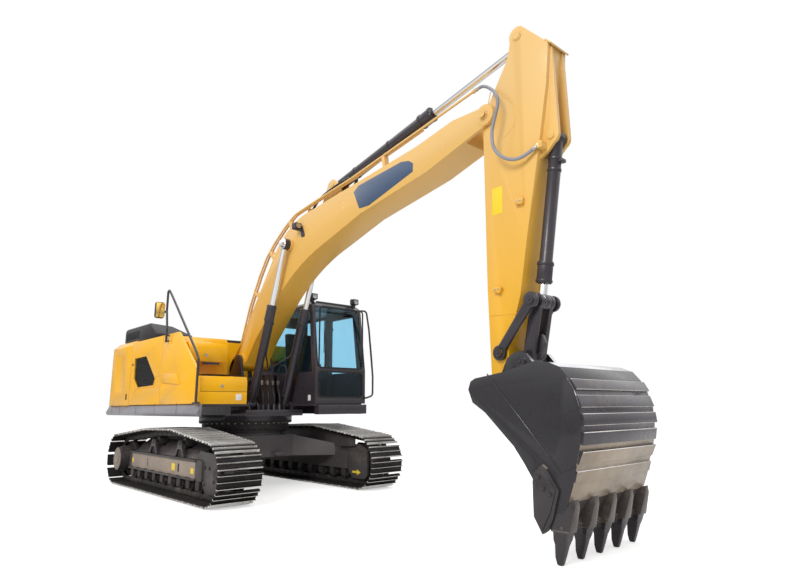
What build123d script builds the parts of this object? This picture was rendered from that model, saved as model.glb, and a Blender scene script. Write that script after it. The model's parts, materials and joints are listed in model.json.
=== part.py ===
from build123d import *
import math
import os

# Tracked excavator, 22 t class. Millimetres, +X forward, +Y left, +Z up.
# The origin lies on the ground under the slewing axis.
os.makedirs("parts", exist_ok=True)
SIDES = (("left", 1), ("right", -1))

# ---------------------------------------------------------------- driving dimensions
# Tracks
gauge = 2380            # between the track centre lines
shoe_width = 600
idler_x = 1790
sprocket_x = -1670
pin_radius = 325        # chain pin line round idler and sprocket
tip_height = 75         # grouser tip outside the pin line
plate_height = 49       # shoe plate's outer face outside the pin line
plate_thick = 14
rail_depth = 45         # chain rail inside the pin line
chain_width = 180
shoe_pitch = 190
crests = ((600, 862), (-400, 848))     # pin line over the carrier rollers (x, z)
wheel_gap = 0.9         # idler and sprocket inside the chain rail
axle_z = pin_radius + tip_height
rail_z = tip_height + rail_depth

# Track side frames
beam_in = gauge / 2 - 175     # inner face, from the centre plane
beam_out = gauge / 2 + 165
beam_low = 275
beam_top = 540
beam_rear = -1330
beam_front = 1420
roller_radius = 76
roller_half = 125
roller_count = 9
roller_first_x = -1180
roller_last_x = 1300
carrier_radius = 65
seat_gap = 0.3

# Slewing ring
ring_seat_z = 830
ring_foot_radius = 640
tow_eye = (705, 200)          # x, distance from the centre plane
tow_thick = 40
tow_low = 490
tow_radius = 32
ring_foot_top = 878
spigot_radius = 560
spigot_top = 960
race_low = 884
race_radius = 690
race_flange_radius = 740
deck_low = 1010

# Upper structure
side_y = 1370           # outer face of the side panels
skirt_low = 1100
deck_top = 1265
skirt_top = deck_top - 3
door_low = deck_top + 7
body_top = 2330
tail_radius = 2960
weight_front = -1610
weight_top = 2380
panel_thick = 40
door_split_x = -205
panel_front_x = 1085
hinge_gap = 12          # between a side door and its frame, where the hinge barrel lies
barrel_small = 5        # side door hinge barrels
barrel_large = 12       # hood, lid and cab door hinge barrels
recess_deep = 10

# Cab
cab_right = 400
cab_left = 1385
cab_front = 1395
cab_rear = -430
cab_low = deck_top
cab_top = 2880
cab_wall = 60
glass_thick = 8
floor_thick = 40

# Working equipment pins (x, z)
boom_foot = (150, 1946)
boom_tip = (5358, 4262)
boom_rod_pin = (1545, 3630)
boom_base_pin = (690, 1260)
arm_base_pin = (2480, 4350)
arm_rod_pin = (5795, 5010)
bucket_base_pin = (6090, 3790)
rocker_pin = (5413, 1717)
link_top_pin = (5806, 2190)
link_low_pin = (5673, 1611)
bucket_pin = (5421, 1340)
boom_half = 205
arm_half = 160
fork_half = 210
fork_gap = 6
pin_fit = 0.05
cylinder_y = 300
bucket_half = 622


def at_y(y):
    """Work plane through y that looks to the left: sketch x is +X, sketch y is +Z."""
    return Plane.XZ.offset(-y)


def outline(points, plane):
    """Closed straight-edged face on a plane."""
    with BuildSketch(plane) as face:
        with BuildLine():
            Polyline(*points, close=True)
        make_face()
    return face.sketch


def disc(radius, centre, y, inner=0):
    """Round face at (x, z) on the plane through y."""
    with BuildSketch(at_y(y)) as face:
        with Locations(centre):
            Circle(radius)
            if inner:
                Circle(inner, mode=Mode.SUBTRACT)
    return face.sketch


def slab(points, sign, y_in, y_out):
    """Plate's outline on its leftmost plane, for a plate between two distances from the centre plane."""
    return outline(points, at_y(max(sign * y_in, sign * y_out)))


def puck(radius, centre, sign, y_in, y_out, inner=0):
    """Round plate's face on its leftmost plane, between two distances from the centre plane."""
    return disc(radius, centre, max(sign * y_in, sign * y_out), inner)


def box_face(x0, x1, y0, y1, z):
    """Rectangle seen from above, between two corners."""
    with BuildSketch(Plane.XY.offset(z)) as face:
        with Locations(((x0 + x1) / 2, (y0 + y1) / 2)):
            Rectangle(x1 - x0, y1 - y0)
    return face.sketch


def upright(radius, x, y, z):
    """Round face seen from above."""
    with BuildSketch(Plane.XY.offset(z)) as face:
        with Locations((x, y)):
            Circle(radius)
    return face.sketch


def tube(points, radius, bends):
    """Round tube along straight runs joined by tangent arcs, one radius for each corner."""
    with BuildPart() as solid:
        with BuildLine() as route:
            FilletPolyline(*points, radius=bends)
        with BuildSketch(Plane(origin=route.line @ 0, z_dir=route.line % 0)):
            Circle(radius)
        sweep(path=route.line)
    return solid.part


def largest_bends(points):
    """Arc radius at each corner of a hose's route, as large as its two runs allow."""
    radii = []
    for before, corner, after in zip(points, points[1:], points[2:]):
        first = Vector(*corner) - Vector(*before)
        second = Vector(*after) - Vector(*corner)
        turn = math.radians(first.get_angle(second))
        radii.append(0.45 * min(first.length, second.length) / math.tan(turn / 2))
    return radii


# ---------------------------------------------------------------- track path
def tangent_angle(centre, point, turn):
    """Direction from a wheel's centre to where a line from the point touches its pin circle."""
    dx = point[0] - centre[0]
    dz = point[1] - centre[1]
    return math.atan2(dz, dx) + turn * math.acos(pin_radius / math.hypot(dx, dz))


def on_wheel(centre, angle):
    """Point of the pin circle round a wheel."""
    return (centre[0] + pin_radius * math.cos(angle), centre[1] + pin_radius * math.sin(angle))


def track_stations():
    """Middle of each shoe on the pin line, as (x, z, heading), forward along the ground first."""
    idler = (idler_x, axle_z)
    sprocket = (sprocket_x, axle_z)
    front_angle = tangent_angle(idler, crests[0], -1)
    rear_angle = tangent_angle(sprocket, crests[1], 1)
    corners = [on_wheel(idler, front_angle), crests[0], crests[1], on_wheel(sprocket, rear_angle)]
    spans = [("line", (sprocket_x, tip_height), (idler_x, tip_height))]
    spans.append(("arc", idler, -math.pi / 2, front_angle))
    spans += [("line", a, b) for a, b in zip(corners, corners[1:])]
    spans.append(("arc", sprocket, rear_angle, 1.5 * math.pi))
    lengths = []
    for kind, *span in spans:
        if kind == "line":
            lengths.append(math.dist(span[0], span[1]))
        else:
            lengths.append(pin_radius * (span[2] - span[1]))
    count = round(sum(lengths) / shoe_pitch)
    step = sum(lengths) / count
    stations = []
    for index in range(count):
        rest = (index + 0.5) * step
        for (kind, *span), length in zip(spans, lengths):
            if rest <= length:
                break
            rest -= length
        if kind == "line":
            (x0, z0), (x1, z1) = span
            share = rest / length
            heading = math.atan2(z1 - z0, x1 - x0)
            stations.append((x0 + share * (x1 - x0), z0 + share * (z1 - z0), heading))
        else:
            centre, start, _ = span
            angle = start + rest / pin_radius
            x, z = on_wheel(centre, angle)
            stations.append((x, z, angle + math.pi / 2))
    return stations


def along_track(profile):
    """Ring of points: profile's (along, outward) points repeated at every shoe."""
    ring = []
    for x, z, heading in track_stations():
        for along, outward in profile:
            ring.append((x + along * math.cos(heading) + outward * math.sin(heading),
                         z + along * math.sin(heading) - outward * math.cos(heading)))
    return ring


# Shoe section, (along, outward): three grouser bars on a plate, then the notch to the next shoe.
bar = tip_height
plate = plate_height
shoe_profile = ((-88, bar), (-76, bar), (-71, plate), (-8, plate), (-5, bar), (5, bar),
                (8, plate), (71, plate), (76, bar), (88, bar), (95, plate))

for side, sign in SIDES:
    middle = sign * gauge / 2
    with BuildPart() as track:
        with BuildSketch(at_y(middle + shoe_width / 2)):
            with BuildLine():
                Polyline(*along_track(shoe_profile), close=True)
            make_face()
            with BuildLine():
                Polyline(*along_track(((0, plate - plate_thick),)), close=True)
            make_face(mode=Mode.SUBTRACT)
        extrude(amount=shoe_width)
        with BuildSketch(at_y(middle + chain_width / 2)):
            with BuildLine():
                Polyline(*along_track(((0, plate - plate_thick / 2),)), close=True)
            make_face()
            with BuildLine():
                Polyline(*along_track(((-52, -rail_depth), (52, -rail_depth))), close=True)
            make_face(mode=Mode.SUBTRACT)
        extrude(amount=chain_width)
    track.part.label = f"track_{side}"
    export_step(track.part, f"parts/track_{side}.step")

# ---------------------------------------------------------------- undercarriage
beam_outline = ((beam_rear, beam_low), (beam_front, beam_low), (beam_front, beam_top - 20),
                (beam_front - 60, beam_top), (beam_rear + 60, beam_top), (beam_rear, beam_top - 60))
guard_in = chain_width / 2 + 8          # idler guard plates, from the track's centre line
guard_thick = 42
guard_low = rail_z + 15
guard_outline = ((beam_front - 40, beam_low), (beam_front + 70, guard_low), (idler_x + 10, guard_low),
                 (idler_x + 75, guard_low + 60), (idler_x + 75, beam_top - 40),
                 (idler_x + 45, beam_top), (beam_front - 40, beam_top))
bracket_hole = (670, (beam_low + beam_top) / 2)
motor_plate = 25
roof_section = ((beam_in, beam_top - 15), (beam_in, 690), (beam_in + 35, 728), (beam_in + 80, 728),
                (1215, 640), (1294, beam_top + 5), (1294, beam_top - 15))
for side, sign in SIDES:
    middle = gauge / 2
    with BuildPart() as side_frame:
        extrude(slab(beam_outline, sign, beam_in, beam_out), amount=beam_out - beam_in)
        for step in (-1, 1):
            inner = middle + step * guard_in
            outer = middle + step * (guard_in + guard_thick)
            extrude(slab(guard_outline, sign, min(inner, outer), max(inner, outer)), amount=guard_thick)
        # Foot flange and top rail along the outer face.
        for z0, z1, proud in ((beam_low, beam_low + 22, 26), (beam_top - 26, beam_top, 18)):
            rail = ((beam_rear + 40, z0), (beam_front - 180, z0), (beam_front - 180, z1), (beam_rear + 40, z1))
            extrude(slab(rail, sign, beam_out, beam_out + proud), amount=proud)
        with BuildSketch(at_y(max(sign * (beam_out - 60), sign * (beam_out + 5)))):
            with Locations(bracket_hole):
                SlotOverall(110, 48, rotation=90)
        extrude(amount=65, mode=Mode.SUBTRACT)
        # Sloped roof under the track's upper run, with a pocket around each carrier roller.
        with BuildSketch(Plane.YZ.offset(-1180)):
            Polygon(*[(sign * y, z) for y, z in roof_section], align=None)
        extrude(amount=2400)
        for crest_x, _ in crests:
            extrude(box_face(crest_x - 95, crest_x + 95, *sorted((sign * (beam_in + 85), sign * 1400)), 650),
                    amount=200, mode=Mode.SUBTRACT)
        extrude(puck(215, (sprocket_x, axle_z), sign, beam_in, beam_in + motor_plate), amount=motor_plate)
        web = ((sprocket_x, 230), (beam_rear + 60, beam_low), (beam_rear + 60, beam_top - 60),
               (sprocket_x, 590))
        extrude(slab(web, sign, beam_in, beam_in + motor_plate), amount=motor_plate)
    side_frame.part.label = f"side_frame_{side}"
    export_step(side_frame.part, f"parts/side_frame_{side}.step")

frame_low = 460
leg_inner_y = 480
with BuildPart() as centre_frame:
    extrude(box_face(-640, 640, -leg_inner_y - 80, leg_inner_y + 80, frame_low), amount=330)
    with BuildSketch(Plane.XY.offset(frame_low + 100)):
        Circle(600)
    extrude(amount=ring_seat_z - frame_low - 100)
    for x_sign in (-1, 1):
        for _, y_sign in SIDES:
            with BuildSketch(at_y(y_sign * leg_inner_y)):
                with Locations((x_sign * 430, frame_low + 165)):
                    Rectangle(380, 330)
            with BuildSketch(at_y(y_sign * beam_in)):
                with Locations((x_sign * 880, frame_low + 92)):
                    Rectangle(420, 184)
            loft()
    # Tow plates in front, each with its shackle hole.
    for _, sign in SIDES:
        side_edges = sorted((sign * (tow_eye[1] - 75), sign * (tow_eye[1] + 75)))
        extrude(box_face(620, tow_eye[0] + 75, *side_edges, tow_low), amount=tow_thick)
        extrude(upright(tow_radius, tow_eye[0], sign * tow_eye[1], tow_low - 1), amount=tow_thick + 2,
                mode=Mode.SUBTRACT)
centre_frame.part.label = "centre_frame"
export_step(centre_frame.part, "parts/centre_frame.step")

hub_radius = 187
with BuildPart() as sprockets:
    for _, sign in SIDES:
        middle = sign * gauge / 2
        hub = (sprocket_x, axle_z)
        extrude(disc(pin_radius - rail_depth - wheel_gap, hub, middle + 35), amount=70)
        case_in = beam_in + motor_plate
        case_out = gauge / 2 + 255
        extrude(puck(170, hub, sign, case_in, gauge / 2), amount=gauge / 2 - case_in)
        extrude(puck(hub_radius + 18, hub, sign, gauge / 2, case_out - 70), amount=case_out - 70 - gauge / 2)
        extrude(puck(hub_radius, hub, sign, case_out - 70, case_out), amount=70)
sprockets.part.label = "sprockets"
export_step(sprockets.part, "parts/sprockets.step")

with BuildPart() as idlers:
    for _, sign in SIDES:
        middle = sign * gauge / 2
        extrude(disc(pin_radius - rail_depth - wheel_gap, (idler_x, axle_z), middle + 70), amount=140)
        axle_half = guard_in - seat_gap
        extrude(disc(60, (idler_x, axle_z), middle + axle_half), amount=2 * axle_half)
idlers.part.label = "idlers"
export_step(idlers.part, "parts/idlers.step")

roller_step = (roller_last_x - roller_first_x) / (roller_count - 1)
roller_z = rail_z + seat_gap + roller_radius
with BuildPart() as bottom_rollers:
    for _, sign in SIDES:
        middle = sign * gauge / 2
        for index in range(roller_count):
            x = roller_first_x + index * roller_step
            extrude(disc(roller_radius, (x, roller_z), middle + roller_half), amount=2 * roller_half)
            extrude(disc(32, (x, roller_z), middle + roller_half + 20), amount=2 * roller_half + 40)
            for end in (-1, 1):
                foot_left = middle + end * (roller_half + 22) + 16
                foot = ((x - 55, roller_z - 40), (x + 55, roller_z - 40), (x + 55, beam_low),
                        (x - 55, beam_low))
                extrude(outline(foot, at_y(foot_left)), amount=32)
bottom_rollers.part.label = "bottom_rollers"
export_step(bottom_rollers.part, "parts/bottom_rollers.step")

# Carrier rollers, each on an arched stand bolted to the outer half of the beam.
stand_y = 128            # stand plate's middle, from the track's centre line
stand_thick = 36
with BuildPart() as carrier_rollers:
    for _, sign in SIDES:
        middle = sign * gauge / 2
        for crest_x, crest_z in crests:
            axle = crest_z - rail_depth - carrier_radius - 14
            extrude(disc(carrier_radius, (crest_x, axle), middle + 70), amount=140)
            roller_out = gauge / 2 + stand_y
            extrude(puck(28, (crest_x, axle), sign, gauge / 2, roller_out), amount=stand_y)
            stand = ((crest_x - 170, beam_top), (crest_x - 110, beam_top), (crest_x - 62, beam_top + 105),
                     (crest_x + 62, beam_top + 105), (crest_x + 110, beam_top), (crest_x + 170, beam_top),
                     (crest_x + 80, beam_top + 150), (crest_x + 45, axle + 30), (crest_x - 45, axle + 30),
                     (crest_x - 80, beam_top + 150))
            extrude(slab(stand, sign, roller_out - stand_thick / 2, roller_out + stand_thick / 2),
                    amount=stand_thick)
carrier_rollers.part.label = "carrier_rollers"
export_step(carrier_rollers.part, "parts/carrier_rollers.step")

with BuildPart() as ring_lower:
    with BuildSketch(Plane.XY.offset(ring_seat_z)):
        Circle(ring_foot_radius)
    extrude(amount=ring_foot_top - ring_seat_z)
    with BuildSketch(Plane.XY.offset(ring_foot_top)):
        Circle(spigot_radius)
    extrude(amount=spigot_top - ring_foot_top)
ring_lower.part.label = "slew_ring_lower"
export_step(ring_lower.part, "parts/slew_ring_lower.step")

# ---------------------------------------------------------------- upper structure
with BuildPart() as ring_upper:
    with BuildSketch(Plane.XY.offset(race_low)):
        Circle(race_radius)
        Circle(spigot_radius + seat_gap, mode=Mode.SUBTRACT)
    extrude(amount=deck_low - race_low)
    with BuildSketch(Plane.XY.offset(deck_low - 28)):
        Circle(race_flange_radius)
        Circle(spigot_radius + seat_gap, mode=Mode.SUBTRACT)
    extrude(amount=28)
ring_upper.part.label = "slew_ring_upper"
export_step(ring_upper.part, "parts/slew_ring_upper.step")

def nipple(end, before, radius, length):
    """Short hose fitting that carries on past the end of a run."""
    run = (Vector(*end) - Vector(*before)).normalized()
    with BuildPart() as solid:
        with BuildSketch(Plane(origin=Vector(*end), z_dir=run)):
            Circle(radius)
        extrude(amount=length)
    return solid.part


pipe_rows = (190, 148)        # distance from the centre plane of the outer and inner boom pipes
foot_line = ((-150, 2020), (-208, 1962), (-262, 1893), (-272, 1800), (-240, 1715))   # boom foot hoses
bracket_in = 246        # boom foot bracket plates, inner face
bracket_thick = 40
foot_pin_radius = 55
base_pin_radius = 40
base_eye_half = 58
barrel_radius = 62        # boom cylinders
front_sill_top = 1180
deck_edge = side_y - 45
cab_beam_front = cab_front + 55
hose_start_z = 1262       # where the boom cylinders' hoses leave the front sill's elbows
hose_rows = (-147, -50, 50, 147)
with BuildPart() as swing_frame:
    with BuildSketch(Plane.XY.offset(deck_low)):
        Circle(race_flange_radius)
    extrude(amount=skirt_low - deck_low)
    extrude(box_face(-2300, 450, -430, 430, skirt_low - 10), amount=deck_top - skirt_low + 10)
    extrude(box_face(440, 1090, -590, 385, skirt_low - 10), amount=front_sill_top - skirt_low + 10)
    deck = ((-1590, -deck_edge), (1165, -deck_edge), (1165, -600), (440, -600), (440, 395),
            (cab_front - 20, 395), (cab_front - 20, deck_edge), (-1590, deck_edge))
    extrude(outline(deck, Plane.XY.offset(deck_top - 30)), amount=30)
    extrude(box_face(cab_front - 60, cab_beam_front, 437, side_y, skirt_low + 5), amount=145)
    for _, sign in SIDES:
        extrude(box_face(-1590, 1080, sign * 860 - 40, sign * 860 + 40, skirt_low + 10),
                amount=deck_top - 20 - skirt_low)
        cheek = ((-430, deck_top - 5), (440, deck_top - 5), (430, 1420), (258, 1946), (42, 1946))
        extrude(slab(cheek, sign, bracket_in, bracket_in + bracket_thick), amount=bracket_thick)
        extrude(puck(115, boom_foot, sign, bracket_in, bracket_in + bracket_thick), amount=bracket_thick)
        for step in (-1, 1):
            lug_left = sign * cylinder_y + step * (base_eye_half + 5 + 12) + 12
            lug = ((580, front_sill_top - 5), (820, front_sill_top - 5), (765, 1290), (690, 1330),
                   (620, 1290))
            extrude(outline(lug, at_y(lug_left)), amount=24)
        extrude(disc(base_pin_radius, boom_base_pin, sign * cylinder_y + 87), amount=174)
    extrude(disc(foot_pin_radius, boom_foot, bracket_in + bracket_thick), amount=2 * (bracket_in + bracket_thick))
    # Elbows on the front sill for the cylinder hoses.
    for y in hose_rows:
        extrude(upright(26, 790, y, front_sill_top), amount=hose_start_z - front_sill_top)
    # Risers with fittings, where the boom's hoses leave the deck.
    for _, sign in SIDES:
        extrude(box_face(-268, -196, *sorted((sign * 122, sign * 216)), deck_top - 5), amount=400)
        for row in pipe_rows:
            low_end, before = [(x, sign * row, z) for x, z in (foot_line[-1], foot_line[-2])]
            add(nipple(low_end, before, 23, 75))
swing_frame.part.label = "swing_frame"
export_step(swing_frame.part, "parts/swing_frame.step")

# Skirts: sloped-faced rails under the side panels, carrying the side doors' hinge pins.
skirt_rear_x = -2700
door_rear = weight_front + 10
door_axis_y = side_y - panel_thick / 2
left_doors = (("rear", door_rear, -1020), ("front", -1012, cab_rear - 24))
for side, sign in SIDES:
    front_x = 1245 if side == "right" else cab_front - 65
    hinges = [door_rear] if side == "right" else [start for _, start, _ in left_doors]
    with BuildPart() as skirt:
        section = ((sign * deck_edge, skirt_low), (sign * (side_y - 4), skirt_low),
                   (sign * (side_y + 26), skirt_low + 40), (sign * (side_y - 30), deck_top),
                   (sign * deck_edge, deck_top))
        extrude(outline(section, Plane.YZ.offset(skirt_rear_x)), amount=front_x - skirt_rear_x)
        for start in hinges:
            pin_x = start + panel_thick / 2
            extrude(upright(barrel_small + 1, pin_x, sign * door_axis_y, skirt_low + 100), amount=100)
    skirt.part.label = f"skirt_{side}"
    export_step(skirt.part, f"parts/skirt_{side}.step")

tail_corner_x = -math.sqrt(tail_radius ** 2 - side_y ** 2)
with BuildPart() as counterweight:
    with BuildSketch(Plane.XY.offset(deck_top)):
        with BuildLine():
            Line((weight_front, -side_y), (tail_corner_x, -side_y))
            ThreePointArc((tail_corner_x, -side_y), (-tail_radius, 0), (tail_corner_x, side_y))
            Polyline((tail_corner_x, side_y), (weight_front, side_y), (weight_front, -side_y))
        make_face()
    extrude(amount=weight_top - deck_top)
    outer_top = counterweight.edges().group_by(Axis.Z)[-1].sort_by(Axis.X)[:-1]
    chamfer(outer_top, 90)
    # Shallow panel recess in each side.
    recess = ((-2405, 2165), (-2011, 2138), (-1842, 1498), (-2339, 1509))
    for _, sign in SIDES:
        extrude(slab(recess, sign, side_y - recess_deep, side_y + 5), amount=recess_deep + 5,
                mode=Mode.SUBTRACT)
counterweight.part.label = "counterweight"
export_step(counterweight.part, "parts/counterweight.step")

with BuildPart() as engine:
    extrude(box_face(-1500, -560, -520, 640, deck_top), amount=780)
engine.part.label = "engine_block"
export_step(engine.part, "parts/engine_block.step")

# Roof over the engine bay with the service opening under the raised hood.
hood_right = -1270
hood_left = -660
hood_wall = 30
hood_front = -800
hood_rear = -2350
hood_top = 2640
hood_low = weight_top + 10
roof_top = body_top - 10
bay_front = cab_rear - 20
bay_half = side_y - panel_thick - 5
hood_pin = (-778, roof_top + 16)
pin_small = 6
hood_knuckles = ((-1200, -1003), (-897, -700))
with BuildPart() as bay_roof:
    extrude(box_face(weight_front + 12, bay_front, -bay_half, bay_half, roof_top - 35), amount=35)
    extrude(box_face(-1500, -900, hood_right + 80, hood_left - 80, roof_top - 60), amount=100,
            mode=Mode.SUBTRACT)
    extrude(box_face(bay_front - 25, bay_front, -bay_half, bay_half, deck_top), amount=roof_top - 35 - deck_top)
    knuckle_y = (hood_knuckles[0][1] + 3, hood_knuckles[1][0] - 3)
    extrude(box_face(hood_pin[0] - barrel_large, hood_pin[0] + barrel_large, *knuckle_y, roof_top - 5),
            amount=21)
    extrude(disc(barrel_large, hood_pin, knuckle_y[1]), amount=knuckle_y[1] - knuckle_y[0])
    extrude(disc(pin_small, hood_pin, -695), amount=510)
bay_roof.part.label = "bay_roof"
export_step(bay_roof.part, "parts/bay_roof.step")

with BuildPart() as hood:
    hood_face = ((hood_rear, hood_low), (-1560, hood_low), (-1560, roof_top + 6),
                 (hood_front, roof_top + 6), (hood_front, 2430), (-1150, hood_top),
                 (-2290, hood_top), (hood_rear, hood_top - 60))
    hood_end = ((hood_right, 2300), (hood_left, 2300), (hood_left, 2430), (-905, 2602), (-1250, hood_top),
                (hood_right, hood_top - 20))
    extrude(outline(hood_face, at_y(hood_left)), amount=hood_left - hood_right)
    extrude(outline(hood_end, Plane.YZ.offset(hood_rear - 10)), amount=2000, mode=Mode.INTERSECT)
    inside = ((-1530, roof_top), (hood_front - 32, roof_top), (hood_front - 32, 2410), (-1160, 2606),
              (-2275, 2606), (-2318, 2563), (-2318, weight_top), (-1530, weight_top))
    inside_end = ((hood_right + hood_wall, 2200), (hood_left - hood_wall, 2200), (hood_left - hood_wall, 2412),
                  (-920, 2566), (hood_right + hood_wall, 2600))
    with BuildPart(mode=Mode.PRIVATE) as hollow:
        extrude(outline(inside, at_y(hood_left)), amount=hood_left - hood_right)
        extrude(outline(inside_end, Plane.YZ.offset(hood_rear - 10)), amount=2000, mode=Mode.INTERSECT)
    add(hollow.part, mode=Mode.SUBTRACT)
    for y0, y1 in hood_knuckles:
        extrude(disc(barrel_large, hood_pin, y1), amount=y1 - y0)
        extrude(box_face(hood_front - 5, hood_pin[0], y0, y1, hood_pin[1] - 8), amount=16)
        extrude(disc(pin_small + pin_fit, hood_pin, y1 + 1), amount=y1 - y0 + 2, mode=Mode.SUBTRACT)
hood.part.label = "engine_hood"
export_step(hood.part, "parts/engine_hood.step")

# Low cover beside the raised hood.
cover_left = 650
with BuildPart() as roof_cover:
    cover_face = ((-1590, roof_top), (hood_front, roof_top), (hood_front, 2400), (-830, 2412), (-1590, 2412))
    extrude(outline(cover_face, at_y(cover_left)), amount=cover_left - hood_left - 8)
    chamfer(roof_cover.edges().filter_by(Axis.X).group_by(Axis.Z)[-1], 24)
roof_cover.part.label = "roof_cover"
export_step(roof_cover.part, "parts/roof_cover.step")


def door_solid(start, end, sign):
    """Side door with a round hinge edge, bored for its pin at the foot."""
    axis_x = start + panel_thick / 2
    height = body_top - door_low
    with BuildPart() as solid:
        low = min(sign * side_y, sign * (side_y - panel_thick))
        extrude(box_face(axis_x, end, low, low + panel_thick, door_low), amount=height)
        extrude(upright(panel_thick / 2, axis_x, sign * door_axis_y, door_low), amount=height)
        extrude(upright(barrel_small + 1 + pin_fit, axis_x, sign * door_axis_y, door_low - 1), amount=40,
                mode=Mode.SUBTRACT)
    return solid.part


# Side panels: hinged doors at the rear and a fixed panel in front, with a sloped front edge.
grille_hole = ((-1451, 2047), (-906, 2056), (-448, 1674), (-504, 1573), (-1215, 1555), (-1429, 1713))
door_right_end = door_split_x - 4
with BuildPart() as side_door_right:
    add(door_solid(door_rear, door_right_end, -1))
    extrude(slab(grille_hole, -1, side_y - panel_thick - 5, side_y + 5), amount=panel_thick + 10,
            mode=Mode.SUBTRACT)
    groove_rear = ((-490, 1550), (-1260, 1535), (-1344, 1489), (door_right_end - 20, 1524),
                   (door_right_end - 20, 1713), (-403, 1700))
    extrude(slab(groove_rear, -1, side_y - recess_deep, side_y + 5), amount=recess_deep + 5,
            mode=Mode.SUBTRACT)
side_door_right.part.label = "side_door_right"
export_step(side_door_right.part, "parts/side_door_right.step")

# Grille in the right door's opening: slats in a thin frame.
slat_count = 17
slat_low = 1575
slat_step = (2040 - slat_low) / (slat_count - 1)
with BuildPart() as side_grille:
    extrude(slab(grille_hole, -1, side_y - panel_thick, side_y - panel_thick + 4), amount=4)
    with BuildPart(mode=Mode.PRIVATE) as slats:
        for index in range(slat_count):
            z = slat_low + index * slat_step
            y0 = -(side_y - panel_thick + 3)
            blade = ((y0, z), (y0 - 26, z - 13), (y0 - 26, z - 5), (y0, z + 8))
            extrude(outline(blade, Plane.YZ.offset(-1460)), amount=1030)
        extrude(slab(grille_hole, -1, side_y - panel_thick, side_y), amount=panel_thick, mode=Mode.INTERSECT)
    add(slats.part)
side_grille.part.label = "side_grille"
export_step(side_grille.part, "parts/side_grille.step")

with BuildPart() as side_panel_right:
    panel_start = door_split_x + 4
    panel_face = ((panel_start, door_low), (panel_front_x, door_low), (panel_front_x, 1760),
                  (380, body_top), (panel_start, body_top))
    extrude(slab(panel_face, -1, side_y - panel_thick, side_y), amount=panel_thick)
    groove_front = ((panel_start + 20, 1718), (271, 1726), (481, 1550), (panel_start + 20, 1530))
    extrude(slab(groove_front, -1, side_y - recess_deep, side_y + 5), amount=recess_deep + 5,
            mode=Mode.SUBTRACT)
side_panel_right.part.label = "side_panel_right"
export_step(side_panel_right.part, "parts/side_panel_right.step")

for name, start, end in left_doors:
    with BuildPart() as side_door:
        add(door_solid(start, end, 1))
    side_door.part.label = f"side_door_left_{name}"
    export_step(side_door.part, f"parts/side_door_left_{name}.step")

# Tool box: the lower front step, an open box under a hinged lid.
step_front = 1173
step_rear = 562
step_right = -1322
step_left = -628
step_wall = 30
step_top = 1650
lid_height = 213
lid_split = step_top - lid_height
lid_pin = (574, step_top + 13)
lid_knuckles = ((-1280, -1183), (-767, -670))

# Tank behind the right panel: a tall rear part, a low front part and a raised front box.
tank_in = -540
tank_out = panel_thick - side_y
box_front = 550
with BuildPart() as tanks:
    tank = ((bay_front + 30, deck_top), (box_front - 5, deck_top), (box_front - 5, 1690), (330, 1690),
            (330, 2180), (260, 2285), (bay_front + 30, 2285))
    extrude(outline(tank, at_y(tank_in)), amount=tank_in - tank_out - 5)
    extrude(box_face(door_split_x + 20, box_front - 15, tank_out, tank_out + 5, deck_top + 60), amount=340)
    box = ((320, 1897), (box_front, 1897), (box_front, 2100), (box_front - 45, 2182), (320, 2182))
    extrude(outline(box, at_y(-657)), amount=602)
    # Fixed knuckles and pins of the tool box lid.
    for y0, y1 in ((-1180, -1120), (-830, -770)):
        extrude(box_face(box_front - 15, lid_pin[0], y0, y1, step_top + 3), amount=20)
        extrude(disc(barrel_large, lid_pin, y1), amount=y1 - y0)
    extrude(disc(pin_small, lid_pin, -1125), amount=150)
    extrude(disc(pin_small, lid_pin, -675), amount=150)
tanks.part.label = "tanks"
export_step(tanks.part, "parts/tanks.step")

with BuildPart() as tool_box:
    extrude(box_face(step_rear, step_front, step_right, step_left, deck_top), amount=lid_split - 3 - deck_top)
    extrude(box_face(step_rear + step_wall, step_front - step_wall, step_right + step_wall,
                     step_left - step_wall, deck_top + step_wall), amount=lid_height + 400,
            mode=Mode.SUBTRACT)
    extrude(box_face(panel_front_x + 6, step_front, -side_y + 5, step_right - 5, deck_top),
            amount=step_top - deck_top)
    extrude(box_face(panel_front_x + 6, step_front, -side_y + 5, step_right, deck_top),
            amount=lid_split - 10 - deck_top)
tool_box.part.label = "tool_box"
export_step(tool_box.part, "parts/tool_box.step")

with BuildPart() as tool_lid:
    lid_face = ((step_rear, lid_split + 3), (step_front, lid_split + 3), (step_front, step_top - 75),
                (step_front - 30, step_top), (step_rear, step_top))
    extrude(outline(lid_face, at_y(step_left)), amount=step_left - step_right)
    lid_inside = ((step_rear + step_wall, lid_split), (step_front - step_wall, lid_split),
                  (step_front - step_wall, step_top - 80), (step_front - 50, step_top - step_wall),
                  (step_rear + step_wall, step_top - step_wall))
    extrude(outline(lid_inside, at_y(step_left - step_wall)),
            amount=step_left - step_right - 2 * step_wall, mode=Mode.SUBTRACT)
    for y0, y1 in lid_knuckles:
        extrude(disc(barrel_large, lid_pin, y1), amount=y1 - y0)
        extrude(box_face(lid_pin[0] - 8, lid_pin[0] + 8, y0, y1, step_top - 5), amount=18)
        extrude(disc(pin_small + pin_fit, lid_pin, y1 + 1), amount=y1 - y0 + 2, mode=Mode.SUBTRACT)
tool_lid.part.label = "tool_lid"
export_step(tool_lid.part, "parts/tool_lid.step")

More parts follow.
